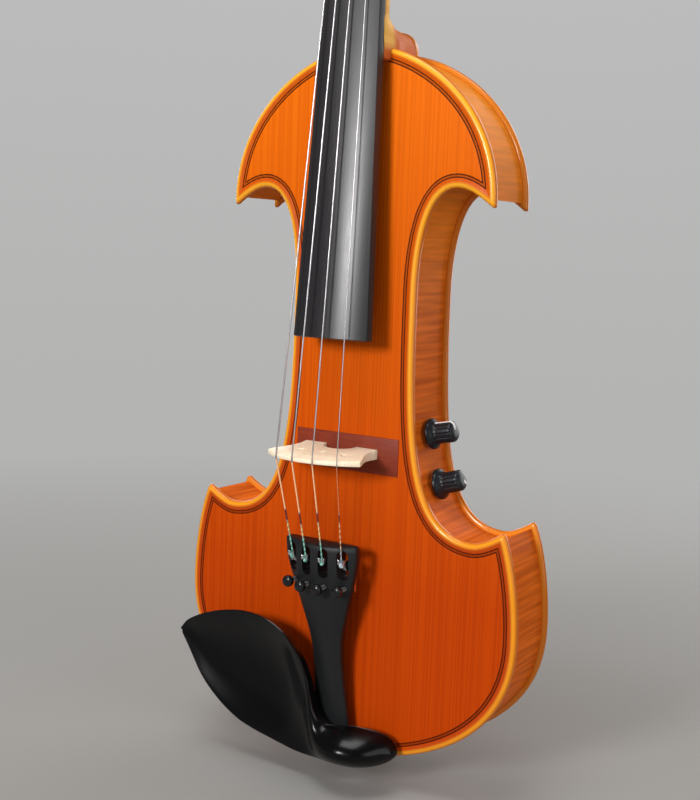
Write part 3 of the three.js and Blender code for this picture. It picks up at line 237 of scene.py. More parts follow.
# Top plate: a flat board of spruce with a rounded edge bead, a shallow channel inside it and two
# dark lines of purfling let into the channel. Varnished orange, its bead golden-orange; the bead's
# golden crest is partly its paler varnish and partly painted highlight, and the plate is painted
# lighter towards the top, partly as light from above and partly as the varnish's own shading.
MILLIMETRE = 0.001
body_low, body_length = 11.5, 350.0
lower_half, upper_half, waist_half, horn_half = 96.5, 74.5, 35.03, 87.24
bouts = {
    "upper": [(0, upper_half, ((0, 1), (0.39, 1), (1.027, 0.924), (1, 0.78)))],
    "waist": [
        (waist_half, upper_half, ((1, 0.78), (0.924, 0.784), (0.71, 0.808), (0.494, 0.808))),
        (waist_half, upper_half, ((0.494, 0.808), (0.094, 0.808), (0, 0.727), (0, 0.667))),
        (waist_half, horn_half, ((0, 0.667), (0, 0.48), (0.02, 0.339), (0.69, 0.339))),
        (waist_half, horn_half, ((0.69, 0.339), (0.77, 0.339), (0.94, 0.354), (1, 0.361))),
    ],
    "lower": [
        (horn_half, lower_half, ((0, 0.361), (0.456, 0.334), (1, 0.279), (1, 0.211))),
        (0, lower_half, ((1, 0.211), (1, 0.059), (0.393, 0), (0, 0))),
    ],
}
bout_counts = {"upper": 52, "waist": 72, "lower": 60}
curve_steps, tip_steps, least_turn = 40, 6, 1e-12


def bezier(knots, share):
    """A point on the curve of four knots, and the curve's direction there"""
    rest = 1 - share
    weights = (rest ** 3, 3 * rest ** 2 * share, 3 * rest * share ** 2, share ** 3)
    slopes = (
        -3 * rest ** 2, 3 * rest ** 2 - 6 * rest * share,
        6 * rest * share - 3 * share ** 2, 3 * share ** 2)
    point = sum((knot * weight for knot, weight in zip(knots, weights)), Vector((0, 0)))
    slope = sum((knot * weight for knot, weight in zip(knots, slopes)), Vector((0, 0)))
    return point, slope.normalized()


def bout_line(name, inset):
    line = []
    for start, end, shares in bouts[name]:
        knots = [Vector((start + (end - start) * x, body_low + z * body_length)) for x, z in shares]
        for step in range(1 if line else 0, curve_steps + 1):
            point, slope = bezier(knots, step / curve_steps)
            line.append(point + Vector((slope.y, -slope.x)) * inset)
    return line


def crossing(first, second):
    """Where two lines of points cross, and the numbers of the two stretches that meet there"""
    for i in range(len(first) - 2, -1, -1):
        for j in range(len(second) - 1):
            a, r = first[i], first[i + 1] - first[i]
            c, s = second[j], second[j + 1] - second[j]
            turn = r.cross(s)
            if abs(turn) < least_turn:
                continue
            t, u = (c - a).cross(s) / turn, (c - a).cross(r) / turn
            if 0 <= t <= 1 and 0 <= u <= 1:
                return a + r * t, i, j
    return first[-1], len(first) - 2, 0


def trimmed_bouts(inset):
    upper, waist, lower = (bout_line(name, inset) for name in ("upper", "waist", "lower"))
    top, i, j = crossing(upper, waist)
    low, k, m = crossing(waist, lower)
    return {
        "upper": [Vector((0, upper[0].y)), *upper[1:i + 1], top],
        "waist": [top, *waist[j + 1:k + 1], low],
        "lower": [low, *lower[m + 1:-1], Vector((0, lower[-1].y))],
    }


def spaced(line, count):
    """As many points as asked for, at even distances along a line of points"""
    lengths = [0.0]
    for a, b in zip(line, line[1:]):
        lengths.append(lengths[-1] + (b - a).length)
    points, i = [], 0
    for step in range(count):
        want = lengths[-1] * step / (count - 1)
        while i < len(line) - 2 and lengths[i + 1] < want:
            i += 1
        span = lengths[i + 1] - lengths[i]
        points.append(line[i].lerp(line[i + 1], (want - lengths[i]) / span if span else 0))
    return points


def shortened(line, cut_start, cut_end):
    """The line without a length at each end"""
    line = list(line)
    for cut in (cut_end, cut_start):
        line.reverse()
        while cut > 0 and len(line) > 2 and (line[1] - line[0]).length <= cut:
            cut -= (line[1] - line[0]).length
            line.pop(0)
        if cut > 0:
            line[0] = line[0].lerp(line[1], cut / (line[1] - line[0]).length)
    return line


def plate_ring(inset, y, blunt):
    """The plate's outline drawn in by an inset, with rounded horns, always with as many points"""
    lines = trimmed_bouts(inset)
    upper, waist, lower = (
        spaced(shortened(lines[name], *cuts), bout_counts[name]) for name, cuts in (
            ("upper", (0, blunt)), ("waist", (blunt, blunt)), ("lower", (blunt, 0))))

    def tip(a, corner, b):
        shares = [step / tip_steps for step in range(1, tip_steps)]
        return [a.lerp(corner, s).lerp(corner.lerp(b, s), s) for s in shares]

    half = [
        *upper, *tip(upper[-1], lines["upper"][-1], waist[0]),
        *waist, *tip(waist[-1], lines["lower"][0], lower[0]), *lower]
    other = [Vector((-point.x, point.y)) for point in half[-2:0:-1]]
    return [Vector((point.x, y, point.y)) for point in half + other]


def loft(bm, rings, marks=None, caps=True):
    """Draws a loop of edges out through the rings. Marks are a layer and each ring's value in it."""
    layer, values = marks or (None, [0] * len(rings))
    verts = [bm.verts.new(point) for point in rings[0]]
    edges = first_loop = [bm.edges.new(pair) for pair in zip(verts, verts[1:] + verts[:1])]
    if layer:
        for vert in verts:
            vert[layer] = values[0]
    for ring, value in zip(rings[1:], values[1:]):
        grown = bmesh.ops.extrude_edge_only(bm, edges=edges)["geom"]
        fresh = {part for part in grown if isinstance(part, bmesh.types.BMVert)}
        verts = [
            next(edge.other_vert(vert) for edge in vert.link_edges if edge.other_vert(vert) in fresh)
            for vert in verts]
        for vert, point in zip(verts, ring):
            vert.co = point
            if layer:
                vert[layer] = value
        edges = [
            part for part in grown
            if isinstance(part, bmesh.types.BMEdge) and fresh.issuperset(part.verts)]
    if caps:
        bmesh.ops.contextual_create(bm, geom=first_loop)
        bmesh.ops.contextual_create(bm, geom=edges)
    return bm


weld_gap = 0.0005


def piece(name, bm, finish, replaced, body="violin", crease=38.0, outward=True):
    """A finished piece from a mesh in millimetres, riding on its body in place of a solid"""
    if outward:
        bmesh.ops.remove_doubles(bm, verts=bm.verts, dist=weld_gap)
        bmesh.ops.recalc_face_normals(bm, faces=bm.faces)
    bmesh.ops.scale(bm, vec=(MILLIMETRE,) * 3, verts=bm.verts)
    thing = placed(name, bm)
    thing.data.materials.append(finish.material)
    thing.data.shade_smooth()
    thing.data.set_sharp_from_angle(angle=math.radians(crease))
    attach(thing, body)
    if replaced:
        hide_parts(replaced)


line_places, line_half, line_soft = (4.9, 6.3), 0.38, 0.16
bead_width, bead_soft, bead_middle, crest_half = 2.9, 1.1, 1.45, 1.25
channel_end, channel_soft, between_half = 4.8, 0.6, 0.75


def purfled(finish, wood, bead, lines):
    """A plate's wood with its bead coloured and its two lines of purfling drawn at their insets"""
    inset = finish.attribute("inset")
    on_bead = ((bead_width - inset) / bead_soft + 0.5).clamped()
    # Painted highlight: the golden crest band on the bead's outer shoulder stands in for light caught
    # there, over the bead's own paler varnish.
    crest_highlight = (crest_half - abs(inset - bead_middle) / bead_soft).clamped()
    wood = finish.blend(on_bead, wood, finish.blend(crest_highlight, (0.60, 0.15, 0.006), bead))
    channel = ((inset - bead_width) / 0.5).clamped() * ((channel_end - inset) / channel_soft).clamped()
    wood = finish.blend(channel * 0.55, wood, (0.46, 0.050, 0.001))
    between = ((between_half - abs(inset - sum(line_places) / 2)) / 0.3).clamped()
    wood = finish.blend(between * 0.45, wood, lines)
    for place in line_places:
        wood = finish.blend(((line_half - abs(inset - place)) / line_soft).clamped(), wood, lines)
    return wood


spruce = Finish("varnished_spruce", Specular_IOR_Level=0.04, Coat_Roughness=0.2)
height = spruce.axis("Z")
wander = spruce.noise(spruce.place(scale=(1, 1, 0.12)), 9, 2)
year_place = spruce.node(
    "ShaderNodeCombineXYZ", {}, {0: (spruce.axis("X") + wander * 0.004) * 1050, 2: height * 4})
year_lines = spruce.noise(year_place, 1, 1, 0.5)
year_rings = spruce.ramp(year_lines, [(0.40, (0, 0, 0)), (0.62, (1, 1, 1))])
fibres = spruce.noise(spruce.place(scale=(1, 1, 0.02)), 2600, 3, 0.6)
broad = spruce.noise(spruce.place(scale=(1, 1, 0.1)), 60, 2)
# Painted light: the belly and its bead are coloured lighter towards the top, standing in for light
# falling from above, with some of the varnish's own shading.
painted_top_light = ((height - 0.10) / 0.25).clamped()
deep = spruce.blend(painted_top_light, (0.38, 0.033, 0.0010), (0.70, 0.116, 0.002))
light = spruce.blend(painted_top_light, (0.51, 0.057, 0.0016), (0.86, 0.175, 0.0030))
grained = spruce.blend(year_rings * 0.6 + fibres * 0.3, light, deep)
toned = spruce.blend(broad * 0.25, grained, (0.50, 0.050, 0.001))
bead_tone = spruce.blend(painted_top_light * 0.7 + fibres * 0.3, (0.78, 0.26, 0.009), (0.93, 0.44, 0.025))
bead_coat = ((5.0 - spruce.attribute("inset")) / 2.0).clamped()
spruce.feed(
    Base_Color=purfled(spruce, toned, bead_tone, (0.070, 0.009, 0.002)),
    Roughness=fibres * 0.12 + 0.38, Coat_Weight=bead_coat * 0.5)
spruce.bump(year_lines * 0.6 + fibres * 0.4, 0.1, 0.0001)

glue_face, plate_face = 15.0, 18.6
bead_profile = [
    (0.9, 0.02), (0.3, 0.5), (0.03, 1.2), (0.05, 2.1), (0.35, 2.85), (0.9, 3.4), (1.6, 3.72),
    (2.3, 3.82), (3.0, 3.78), (3.7, 3.66), (4.3, 3.53), (4.9, 3.46), (5.6, 3.45), (6.3, 3.49),
    (7.0, 3.54), (7.8, 3.58), (9.0, 3.6),
]
blunt_most, blunt_least, blunt_loss = 2.6, 0.05, 0.55


def horn_blunt(inset):
    """How far a horn's tip is rounded off: less on the rings farther in"""
    return max(blunt_least, blunt_most - blunt_loss * inset)


def plate(facing, extra=()):
    """A mesh with its layer, rings from the gluing face round the bead to the flat, and their insets"""
    bm = bmesh.new()
    profile = [(9.0, 0.0), (2.5, 0.0), *bead_profile, *extra]
    rings = [
        plate_ring(inset, facing * (glue_face + rise), horn_blunt(inset)) for inset, rise in profile]
    return bm, bm.verts.layers.float.new("inset"), rings, [inset for inset, _ in profile]


bm, inset_layer, rings, insets = plate(-1)
loft(bm, rings, (inset_layer, insets))
piece("belly", bm, spruce, "top_plate")


# Back plate: flamed maple with the same bead and purfling, a low arch down its middle, and a round
# button at the top on which the neck's heel is glued.
def flamed(name, across_scale, dark, pale, place=(10, 10, 95), along=None, coat=0.02):
    """Varnished maple whose flame crosses the grain, or stands across a strip"""
    finish = Finish(name, Specular_IOR_Level=0.01, Coat_Weight=coat, Coat_Roughness=0.12)
    coordinates = finish.place(scale=place)
    if along:
        length, depth = finish.attribute(along), finish.axis("Y")
        coordinates = finish.node("ShaderNodeCombineXYZ", {}, {
            0: length * 0.11 + depth * 1.6, 1: depth * 6.0, 2: length * 0.02})
    flame = finish.noise(coordinates, across_scale, 1, 0.4, 0.35)
    pores = finish.noise(finish.place(scale=(1, 1, 0.06)), 2200, 3, 0.6)
    cloud = finish.noise(finish.place(), 22, 2)
    stripe = finish.ramp(flame, [(0.30, (0, 0, 0)), (0.70, (1, 1, 1))])
    wood = finish.blend(pores * 0.22, finish.blend(stripe, dark, pale), dark)
    finish.feed(Roughness=pores * 0.1 + 0.34)
    finish.bump(pores * 0.5 + flame * 0.5, 0.1, 0.00012)
    return finish, finish.blend(cloud * 0.25, wood, pale)


def circle(steps):
    angles = [2 * math.pi * i / steps for i in range(steps)]
    return [(math.cos(angle), math.sin(angle)) for angle in angles]


back_maple, back_wood = flamed(
    "flamed_maple_back", 1.7, (0.30, 0.055, 0.008), (0.60, 0.155, 0.022), place=(7, 7, 120), coat=0.6)
back_maple.feed(Base_Color=purfled(back_maple, back_wood, (0.72, 0.235, 0.02), (0.07, 0.012, 0.003)))
arch_rise, arch_start, arch_steps = 3.0, 12.0, 10
arch_low, arch_high = 52.0, 322.0
button_centre, button_steps, button_inset = 361.8, 28, 1.0
button_profile = [(10.4, 15.0), (10.5, 16.2), (10.5, 17.3), (10.1, 18.2), (9.2, 18.75), (5.0, 18.9)]
bm, inset_layer, rings, insets = plate(1, [(arch_start, plate_face - glue_face)])
outer = rings[-1]
for step in range(1, arch_steps + 1):
    share = 1 - step / arch_steps
    rise = plate_face + arch_rise * (0.5 + 0.5 * math.cos(math.pi * share))
    rings.append([
        Vector((point.x * share, rise,
                max(arch_low, min(arch_high, point.z)) * (1 - share) + point.z * share))
        for point in outer])
    insets.append(arch_start + step)
loft(bm, rings, (inset_layer, insets), caps=False)
rim = [edge for edge in bm.edges if edge.is_boundary and edge.verts[0].co.y < glue_face + 0.01]
bmesh.ops.contextual_create(bm, geom=rim)
bmesh.ops.remove_doubles(bm, verts=bm.verts, dist=0.01)
loft(bm, [[Vector((radius * c, y, button_centre + radius * s)) for c, s in circle(button_steps)]
          for radius, y in button_profile], (inset_layer, [button_inset] * len(button_profile)))
piece("back", bm, back_maple, "back_plate")


# Ribs: six strips of thin flamed maple bent round the body between the plates, glued to the blocks.
# Their varnish is redder than the plates', the flame stands across each strip, and their upper
# parts are painted lighter and yellower, standing in for light from above and the right.
rib_maple, rib_wood = flamed(
    "flamed_maple_ribs", 4.2, (0.48, 0.078, 0.007), (0.80, 0.165, 0.014), along="along")
# Painted light: the ribs are coloured lighter and yellower towards the top, standing in for light
# falling from above and the right.
painted_rib_light = ((rib_maple.axis("Z") - 0.22) / 0.12).clamped()
rib_maple.feed(Base_Color=rib_maple.blend(painted_rib_light * 0.5, rib_wood, (0.98, 0.38, 0.03)))
overhang, rib_thickness, rib_half = 2.5, 1.5, 15.02
rib_counts = {"upper": (60, 3.0), "waist": (90, 170.0), "lower": (70, 420.0)}
treble_shift = 900.0
outer_lines, inner_lines = trimmed_bouts(overhang), trimmed_bouts(overhang + rib_thickness)
for side, sign in (("bass", -1), ("treble", 1)):
    for bout, (count, shift) in rib_counts.items():
        bm = bmesh.new()
        along_layer = bm.verts.layers.float.new("along")
        outside, inside = spaced(outer_lines[bout], count), spaced(inner_lines[bout], count)
        lengths = [shift + treble_shift * (sign > 0)]
        for a, b in zip(outside, outside[1:]):
            lengths.append(lengths[-1] + (b - a).length)
        loft(bm, [[
            Vector((sign * point.x, y, point.y)) for point, y in (
                (o, -rib_half), (o, rib_half), (i, rib_half), (i, -rib_half))]
            for o, i in zip(outside, inside)], (along_layer, lengths))
        piece(f"rib_{bout}_{side}_wood", bm, rib_maple, f"rib_{bout}_{side}")


# Neck: one piece of maple, with its heel let into the top block, a round-backed shaft, a pegbox with
# an open trough, and a scroll. The shaft is left golden, the heel's side red and the head darker.
neck_frame = Matrix.Translation((0, -24.8, 361.5)) @ Matrix.Rotation(math.radians(-3.23), 4, "X")
neck_maple, neck_wood = flamed(
    "flamed_maple_neck", 1.5, (0.72, 0.32, 0.045), (0.94, 0.58, 0.14), place=(10, 10, 120))
level, depth = neck_maple.axis("Z"), neck_maple.axis("Y")
head_fade = ((level - 0.489) / 0.010).clamped()
neck_wood = neck_maple.blend(head_fade * 0.9, neck_wood, (0.66, 0.36, 0.22), "MULTIPLY")
front_fade = ((-0.013 - depth) / 0.004).clamped() * ((level - 0.357) / 0.004).clamped()
neck_fade = (((level - 0.368) / 0.016).clamped() + front_fade).clamped()
neck_maple.feed(Base_Color=neck_maple.blend(neck_fade, (0.60, 0.150, 0.035), neck_wood))
nut_half, board_end_half = 12.0, 21.0
neck_stop, board_length = 131.0, 271.0


def board_half(along):
    return nut_half + (board_end_half - nut_half) * ((neck_stop - along) / board_length)


def half_turn(steps):
    angles = [math.pi * i / steps for i in range(steps + 1)]
    return [(math.cos(angle), math.sin(angle)) for angle in angles]


def mirrored(half):
    """A row of points that ends at the middle, with its mirror image after it"""
    return half + [(-x, y) for x, y in half[-2::-1]]


def applied(thing):
    """A mesh to work on, from an object with its modifiers applied"""
    bpy.context.view_layer.update()
    ready = thing.evaluated_get(bpy.context.evaluated_depsgraph_get())
    bm = bmesh.new()
    bm.from_mesh(bpy.data.meshes.new_from_object(ready))
    bpy.data.objects.remove(thing)
    return bm


def worked(bm, *tools):
    """A mesh with modifiers applied to it: each is a type and its settings"""
    thing = placed("work", bm)
    for kind, settings in tools:
        modifier = thing.modifiers.new(kind.lower(), kind)
        for key, value in settings.items():
            setattr(modifier, key, value)
    return applied(thing)


def cut_away(bm, tool):
    """A mesh with another closed one taken out of it"""
    bmesh.ops.recalc_face_normals(tool, faces=tool.faces)
    thing = placed("cutter", tool)
    bm = worked(bm, ("BOOLEAN", {"operation": "DIFFERENCE", "object": thing, "solver": "EXACT"}))
    bpy.data.objects.remove(thing)
    return bm


shaft_depths = [(5.0, 14.4), (16.0, 14.0), (40.0, 13.6), (80.0, 13.4), (118.0, 13.2), (131.0, 13.4)]
heel_sections = [
    (-25.2, 16.9, 38.0), (-18.6, 16.6, 22.0), (-10.6, 16.3, 12.9), (-7.6, 15.3, 12.0),
    (-3.6, 13.4, 11.6), (1.0, 12.1, 11.1), (5.4, 11.5, 10.9), (10.0, 11.0, 10.5),
    (14.95, 10.6, 10.2)]
root_low, heel_centre, shaft_gap = 353.0, 361.5, 0.04
pegbox_sections = [
    (129.0, 12.0, -0.2, 14.0), (134.0, 12.0, -0.1, 15.2), (140.0, 11.85, 0.6, 18.2),
    (147.0, 11.7, 1.7, 20.6), (154.0, 11.5, 2.8, 22.4), (163.0, 11.2, 4.2, 24.3),
    (172.0, 10.9, 5.6, 26.0), (182.0, 10.5, 7.1, 27.8), (192.0, 10.1, 8.6, 29.6),
    (201.0, 9.6, 10.0, 31.4), (208.0, 9.0, 11.6, 32.6)]
box_edge = 3.2
bm = loft(bmesh.new(), [[
    neck_frame @ Vector((board_half(along) * c, shaft_gap + depth * s, along)) for c, s in half_turn(28)]
    for along, depth in shaft_depths])
loft(bm, [[
    Vector((half, y, root_low)),
    *[Vector((half * c, y, heel_centre + reach * s)) for c, s in half_turn(24)],
    Vector((-half, y, root_low))] for y, half, reach in heel_sections])
rings = []
for along, half, front, back in pegbox_sections:
    left = [(half, front), (half, back - box_edge), (half * 0.9, back - box_edge * 0.3),
            (half * 0.68, back + 0.25), (half * 0.35, back - 0.35), (0, back + 0.1)]
    rings.append([neck_frame @ Vector((x, y, along)) for x, y in mirrored(left)])
loft(bm, rings)
bmesh.ops.recalc_face_normals(bm, faces=bm.faces)
bm = worked(
    bm, ("REMESH", {"mode": "VOXEL", "voxel_size": 0.8}), ("SMOOTH", {"factor": 0.5, "iterations": 5}))


# Scroll: its volute winds from the pegbox's back over the top and in to the eye, each half turn
# smaller and wider across than the one before, with two flutes down its back.
scroll_y, scroll_z = 19.03, 216.56
scroll_radius, scroll_half = 15.48, 20.0
radius_knots = (1.0, 0.85, 0.67, 0.54, 0.41, 0.31)
width_knots = (0.32, 0.38, 0.49, 0.635, 0.785, 0.91)
turn_steps, flute_depth, fluted_turns = 22, 0.9, 2.6


def knot_value(knots, place):
    i = min(int(place), len(knots) - 2)
    return knots[i] + (knots[i + 1] - knots[i]) * (place - i)


def scroll_point(x, radius, c, s):
    return neck_frame @ Vector((x, scroll_y + radius * c, scroll_z + radius * s))


rings = []
for step in range((len(radius_knots) - 1) * turn_steps + 1):
    place = step / turn_steps
    angle = (place - 0.5) * math.pi
    radius = scroll_radius * knot_value(radius_knots, place)
    reach = scroll_half * knot_value(width_knots, place)
    flute = flute_depth * max(0.0, 1 - place / fluted_turns)
    profile = [
        (reach - 0.2, 1.5), (reach - 0.55, radius * 0.55), (reach - 0.5, radius - 2.0),
        (reach, radius - 0.9), (reach - 0.25, radius - 0.25), (reach - 0.9, radius),
        (reach * 0.78, radius - flute * 0.5), (reach * 0.52, radius - flute),
        (reach * 0.26, radius - flute * 0.55), (0, radius - flute * 0.05)]
    rings.append([
        scroll_point(x, r, math.cos(angle), math.sin(angle)) for x, r in mirrored(profile)])
volute = loft(bmesh.new(), rings)
eye_profile = [(1.6, 19.9), (2.8, 19.4), (3.4, 18.6), (3.6, 17.4), (3.6, 0.0)]
for sign in (-1, 1):
    loft(volute, [[scroll_point(sign * x, r, c, s) for c, s in circle(32)] for r, x in eye_profile])
bmesh.ops.recalc_face_normals(volute, faces=volute.faces)
trough_sections = [
    (138.0, 7.5, 7.0), (144.0, 7.3, 15.4), (155.0, 7.0, 17.4), (175.0, 6.4, 20.4), (192.0, 5.8, 23.0),
    (199.0, 5.6, 23.6)]
trough_top, trough_round = -6.0, 1.5
bm = cut_away(bm, loft(bmesh.new(), [[
    neck_frame @ Vector((x, y, along)) for x, y in (
        (half, trough_top), (half, floor - trough_round), (half - trough_round, floor),
        (-half + trough_round, floor), (-half, floor - trough_round), (-half, trough_top))]
    for along, half, floor in trough_sections]))
whole = bpy.data.meshes.new("volute")
volute.to_mesh(whole)
volute.free()
bm.from_mesh(whole)
piece("neck_wood", bm, neck_maple, "neck", crease=32, outward=False)


# Pegs: turned and carved from ebony, each a tapered shaft with a ringed collar and a leaf-shaped
# head, pushed through both cheeks of the pegbox so that friction holds it.
ebony = Finish("ebony")
streaks = ebony.noise(ebony.place(scale=(1, 1, 0.03)), 1500, 4, 0.6)
clouds = ebony.noise(ebony.place(), 45, 2)
ebony.feed(
    Base_Color=ebony.blend(streaks * 0.8 * clouds, (0.011, 0.010, 0.011), (0.060, 0.050, 0.047)),
    Roughness=streaks * 0.22 + 0.24)
ebony.bump(streaks, 0.12, 0.00008)


def turned(bm, profile, axis="x", sides=48, place=Matrix.Identity(4)):
    """Spins a profile of (radius, height) round an axis and puts it in place"""
    before = set(bm.verts)
    verts = [bm.verts.new((radius, 0, height)) for radius, height in profile]
    edges = [bm.edges.new(pair) for pair in zip(verts, verts[1:])]
    bmesh.ops.spin(
        bm, geom=verts + edges, cent=(0, 0, 0), axis=(0, 0, 1), angle=2 * math.pi, steps=sides,
        use_merge=True)
    turn = {"x": Matrix.Rotation(math.pi / 2, 4, "Y"), "y": Matrix.Rotation(-math.pi / 2, 4, "X"),
            "z": Matrix.Identity(4)}[axis]
    fresh = [vert for vert in bm.verts if vert not in before]
    bmesh.ops.transform(bm, matrix=place @ turn, verts=fresh)
    bmesh.ops.remove_doubles(bm, verts=fresh, dist=0.001)
    return bm


peg_depth, depth_gain, peg_level, level_gain = 8.0, 10.5, 136.0, 68.0


def peg_place(share):
    """A peg's depth and height along the neck, from its share of the pegbox's length"""
    return depth_gain * share + peg_depth, peg_level + level_gain * share


pegs = {"g": (0.191, -1), "e": (0.412, 1), "d": (0.632, -1), "a": (0.838, 1)}
wall_low, wall_high, wall_length = 12.0, 9.5, 79.0
leaf_start, leaf_squareness = 2.6, 0.75
leaf = [
    (0.0, 3.0, 3.0), (1.2, 3.1, 3.0), (2.6, 4.4, 2.4), (4.4, 7.2, 2.05), (6.6, 9.9, 1.85),
    (9.0, 11.2, 1.75), (11.2, 11.5, 1.75), (13.2, 10.7, 1.8), (14.8, 8.6, 1.9), (15.9, 5.6, 1.8),
    (16.5, 2.6, 1.4), (16.7, 0.9, 0.7)]
for name, (share, side) in pegs.items():
    y, z = peg_place(share)
    wall = wall_low + (wall_high - wall_low) * (z - neck_stop) / wall_length
    bm = turned(bmesh.new(), [
        (0.0, -wall - 2.0), (2.6, -wall - 2.0), (3.2, -wall - 1.5), (3.4, -wall), (3.98, wall + 0.2),
        (4.6, wall + 0.3), (5.0, wall + 0.7), (4.9, wall + 1.4), (4.1, wall + 1.8), (4.3, wall + 2.2),
        (4.6, wall + 2.6), (4.1, wall + 3.1), (3.2, wall + 3.5), (0.0, wall + 3.5)])
    loft(bm, [[
        Vector((wall + leaf_start + step, thick * math.copysign(abs(c) ** leaf_squareness, c), tall * s))
        for c, s in circle(32)] for step, tall, thick in leaf])
    turned(bm, [(0.0, 0.9), (0.7, 0.65), (1.0, 0.1), (0.9, -0.4), (0.4, -0.8)],
           place=Matrix.Translation((wall + 18.7, 0, 0)), sides=16)
    bmesh.ops.scale(bm, vec=(side, 1, 1), verts=bm.verts)
    bmesh.ops.transform(bm, matrix=neck_frame @ Matrix.Translation((0, y, z)), verts=bm.verts)
    piece(f"peg_{name}_ebony", bm, ebony, f"peg_{name}", f"peg_{name}")


# Fingerboard and nut: a long tapered strip of ebony, crowned across to a 42 mm radius, glued to the
# neck and free over the body, where its underside is hollowed. The nut has a notch for each string.
crown_radius, board_edge = 42.0, 5.0
board_margin, board_lean, board_round = 1.6, 0.22, 0.5
board_ebony = Finish("fingerboard_ebony", Specular_IOR_Level=0.7)
board_grain = board_ebony.noise(board_ebony.place(scale=(1, 1, 0.015)), 1300, 4, 0.65)
worn = board_ebony.noise(board_ebony.place(scale=(1, 1, 0.3)), 80, 3)
played = ((board_ebony.axis("Z") - 0.27) / 0.12).clamped()
board_ebony.feed(
    Base_Color=board_ebony.blend(board_grain * 0.7, (0.006, 0.005, 0.006), (0.024, 0.021, 0.024)),
    Roughness=board_grain * 0.10 + worn * 0.10 + played * 0.20 + 0.24)
board_ebony.bump(board_grain, 0.1, 0.0001)


def crown(x, half):
    return math.sqrt(crown_radius ** 2 - x * x) - math.sqrt(crown_radius ** 2 - half * half)


def board_ring(along, edge_depth, inset=0.0, scoop=0.0):
    half = board_half(along) - inset
    depth, flat_half = edge_depth - inset, half - board_margin
    ring = [(half, 0), (half, -depth + board_round)]
    ring += [(x * (1 - board_lean / half), -depth - crown(x, half)) for x in (
        half * (1 - 2 * i / 32) for i in range(33))]
    ring += [(-half, -depth + board_round), (-half, 0)]
    ring += [(x, -scoop * (1 - (x / flat_half) ** 2)) for x in (
        -flat_half + 2 * flat_half * i / 16 for i in range(17))]
    return [neck_frame @ Vector((x, y, along)) for x, y in ring]


board_end, scoop_depth = neck_stop - board_length, 2.6
stations = [(board_end, 0.5, 2.4), (board_end + 0.5, 0.0, scoop_depth)]
stations += [
    (board_end + 0.5 + (-4 - board_end) * i / 20, 0.0, scoop_depth * min(1, (20 - i) / 5))
    for i in range(1, 21)]
stations += [(along, 0.0, 0.0) for along in (20, 50, 80, 110, neck_stop - 0.02)]
bm = loft(bmesh.new(), [board_ring(along, board_edge, inset, scoop) for along, inset, scoop in stations])
piece("fingerboard_ebony", bm, board_ebony, "fingerboard", crease=28)

nut_shares = {"g": -1, "d": -1 / 3, "a": 1 / 3, "e": 1}
nut_spread, nut_rise, notch_depth, notch_slope = 16.5, 0.55, 0.3, 0.6
rings = []
for along, rise in ((0.0, 0.3), (0.4, nut_rise), (3.2, nut_rise), (4.4, 0.1), (4.7, -0.6)):
    ring = [(nut_half, 0), (nut_half, -board_edge + 0.3)]
    for i in range(97):
        x = nut_half * (1 - 2 * i / 96)
        away = min(abs(x - share * nut_spread / 2) for share in nut_shares.values())
        notch = max(0, notch_depth - away * notch_slope)
        ring.append((x * 0.985, -board_edge - rise - crown(x, nut_half) + notch))
    ring += [(-nut_half, -board_edge + 0.3), (-nut_half, 0)]
    rings.append([neck_frame @ Vector((x, y, neck_stop + along)) for x, y in ring])
piece("nut_ebony", loft(bmesh.new(), rings), ebony, "nut", crease=35)


# Bridge: a thin carved slice of pale maple, flat on its tail side and thinning to the top, with an
# arch between the feet, a small heart and two eyes. The strings hold it on the rosewood plate.
bridge_maple = Finish("bridge_maple", Roughness=0.5, Subsurface_Weight=0.06)
rays = bridge_maple.noise(bridge_maple.place(scale=(1, 0.35, 1)), 1400, 2, 0.5)
ray_marks = bridge_maple.ramp(rays, [(0.60, (0, 0, 0)), (0.72, (1, 1, 1))])
bridge_cloud = bridge_maple.noise(bridge_maple.place(), 60, 3)
bridge_tone = bridge_maple.blend(bridge_cloud, (0.90, 0.72, 0.48), (0.98, 0.86, 0.66))
bridge_maple.feed(Base_Color=bridge_maple.blend(ray_marks * 0.55, bridge_tone, (0.52, 0.32, 0.16)))
bridge_maple.bump(rays, 0.15, 0.0001)

foot_half, bridge_foot_y = 21.0, -19.1
bridge_shift, bridge_level = -2.9, 163.995
bridge_top_half, treble_drop = 26.3, 0.4
string_spread, string_height = 34.4, 31.2


def crown_drop(x):
    return crown_radius - math.sqrt(crown_radius ** 2 - x * x)


apex_drop = 0.3 + 0.42
bridge_apex = plate_face + string_height + crown_drop(string_spread / 2) + bridge_foot_y - apex_drop


def bridge_top(x):
    return bridge_apex - crown_drop(x) - x / string_spread * 2 * treble_drop


side_shares = [
    (1.0, 0.0), (1.0, 0.07), (0.98, 0.13), (0.98, 0.22), (1.02, 0.34), (1.09, 0.46), (1.18, 0.58),
    (1.245, 0.67)]
top_shares = (1, 0.8, 0.6, 0.4, 0.2, 0, -0.2, -0.4, -0.6, -0.8, -1)
arch_shares = [(0.42, 0.0), (0.41, 0.06), (0.3, 0.17), (0.0, 0.24)]
heart_shares = [
    (0, 0.45), (0.045, 0.472), (0.065, 0.50), (0.052, 0.532), (0.024, 0.54), (0, 0.523), (-0.024, 0.54),
    (-0.052, 0.532), (-0.065, 0.50), (-0.045, 0.472)]
eye_shares = [
    (0.53, 0.475), (0.60, 0.478), (0.66, 0.51), (0.64, 0.55), (0.575, 0.562), (0.56, 0.528),
    (0.52, 0.51)]


def bridge_points(shares, sign=1):
    return [(sign * x * foot_half, h * bridge_apex) for x, h in shares]


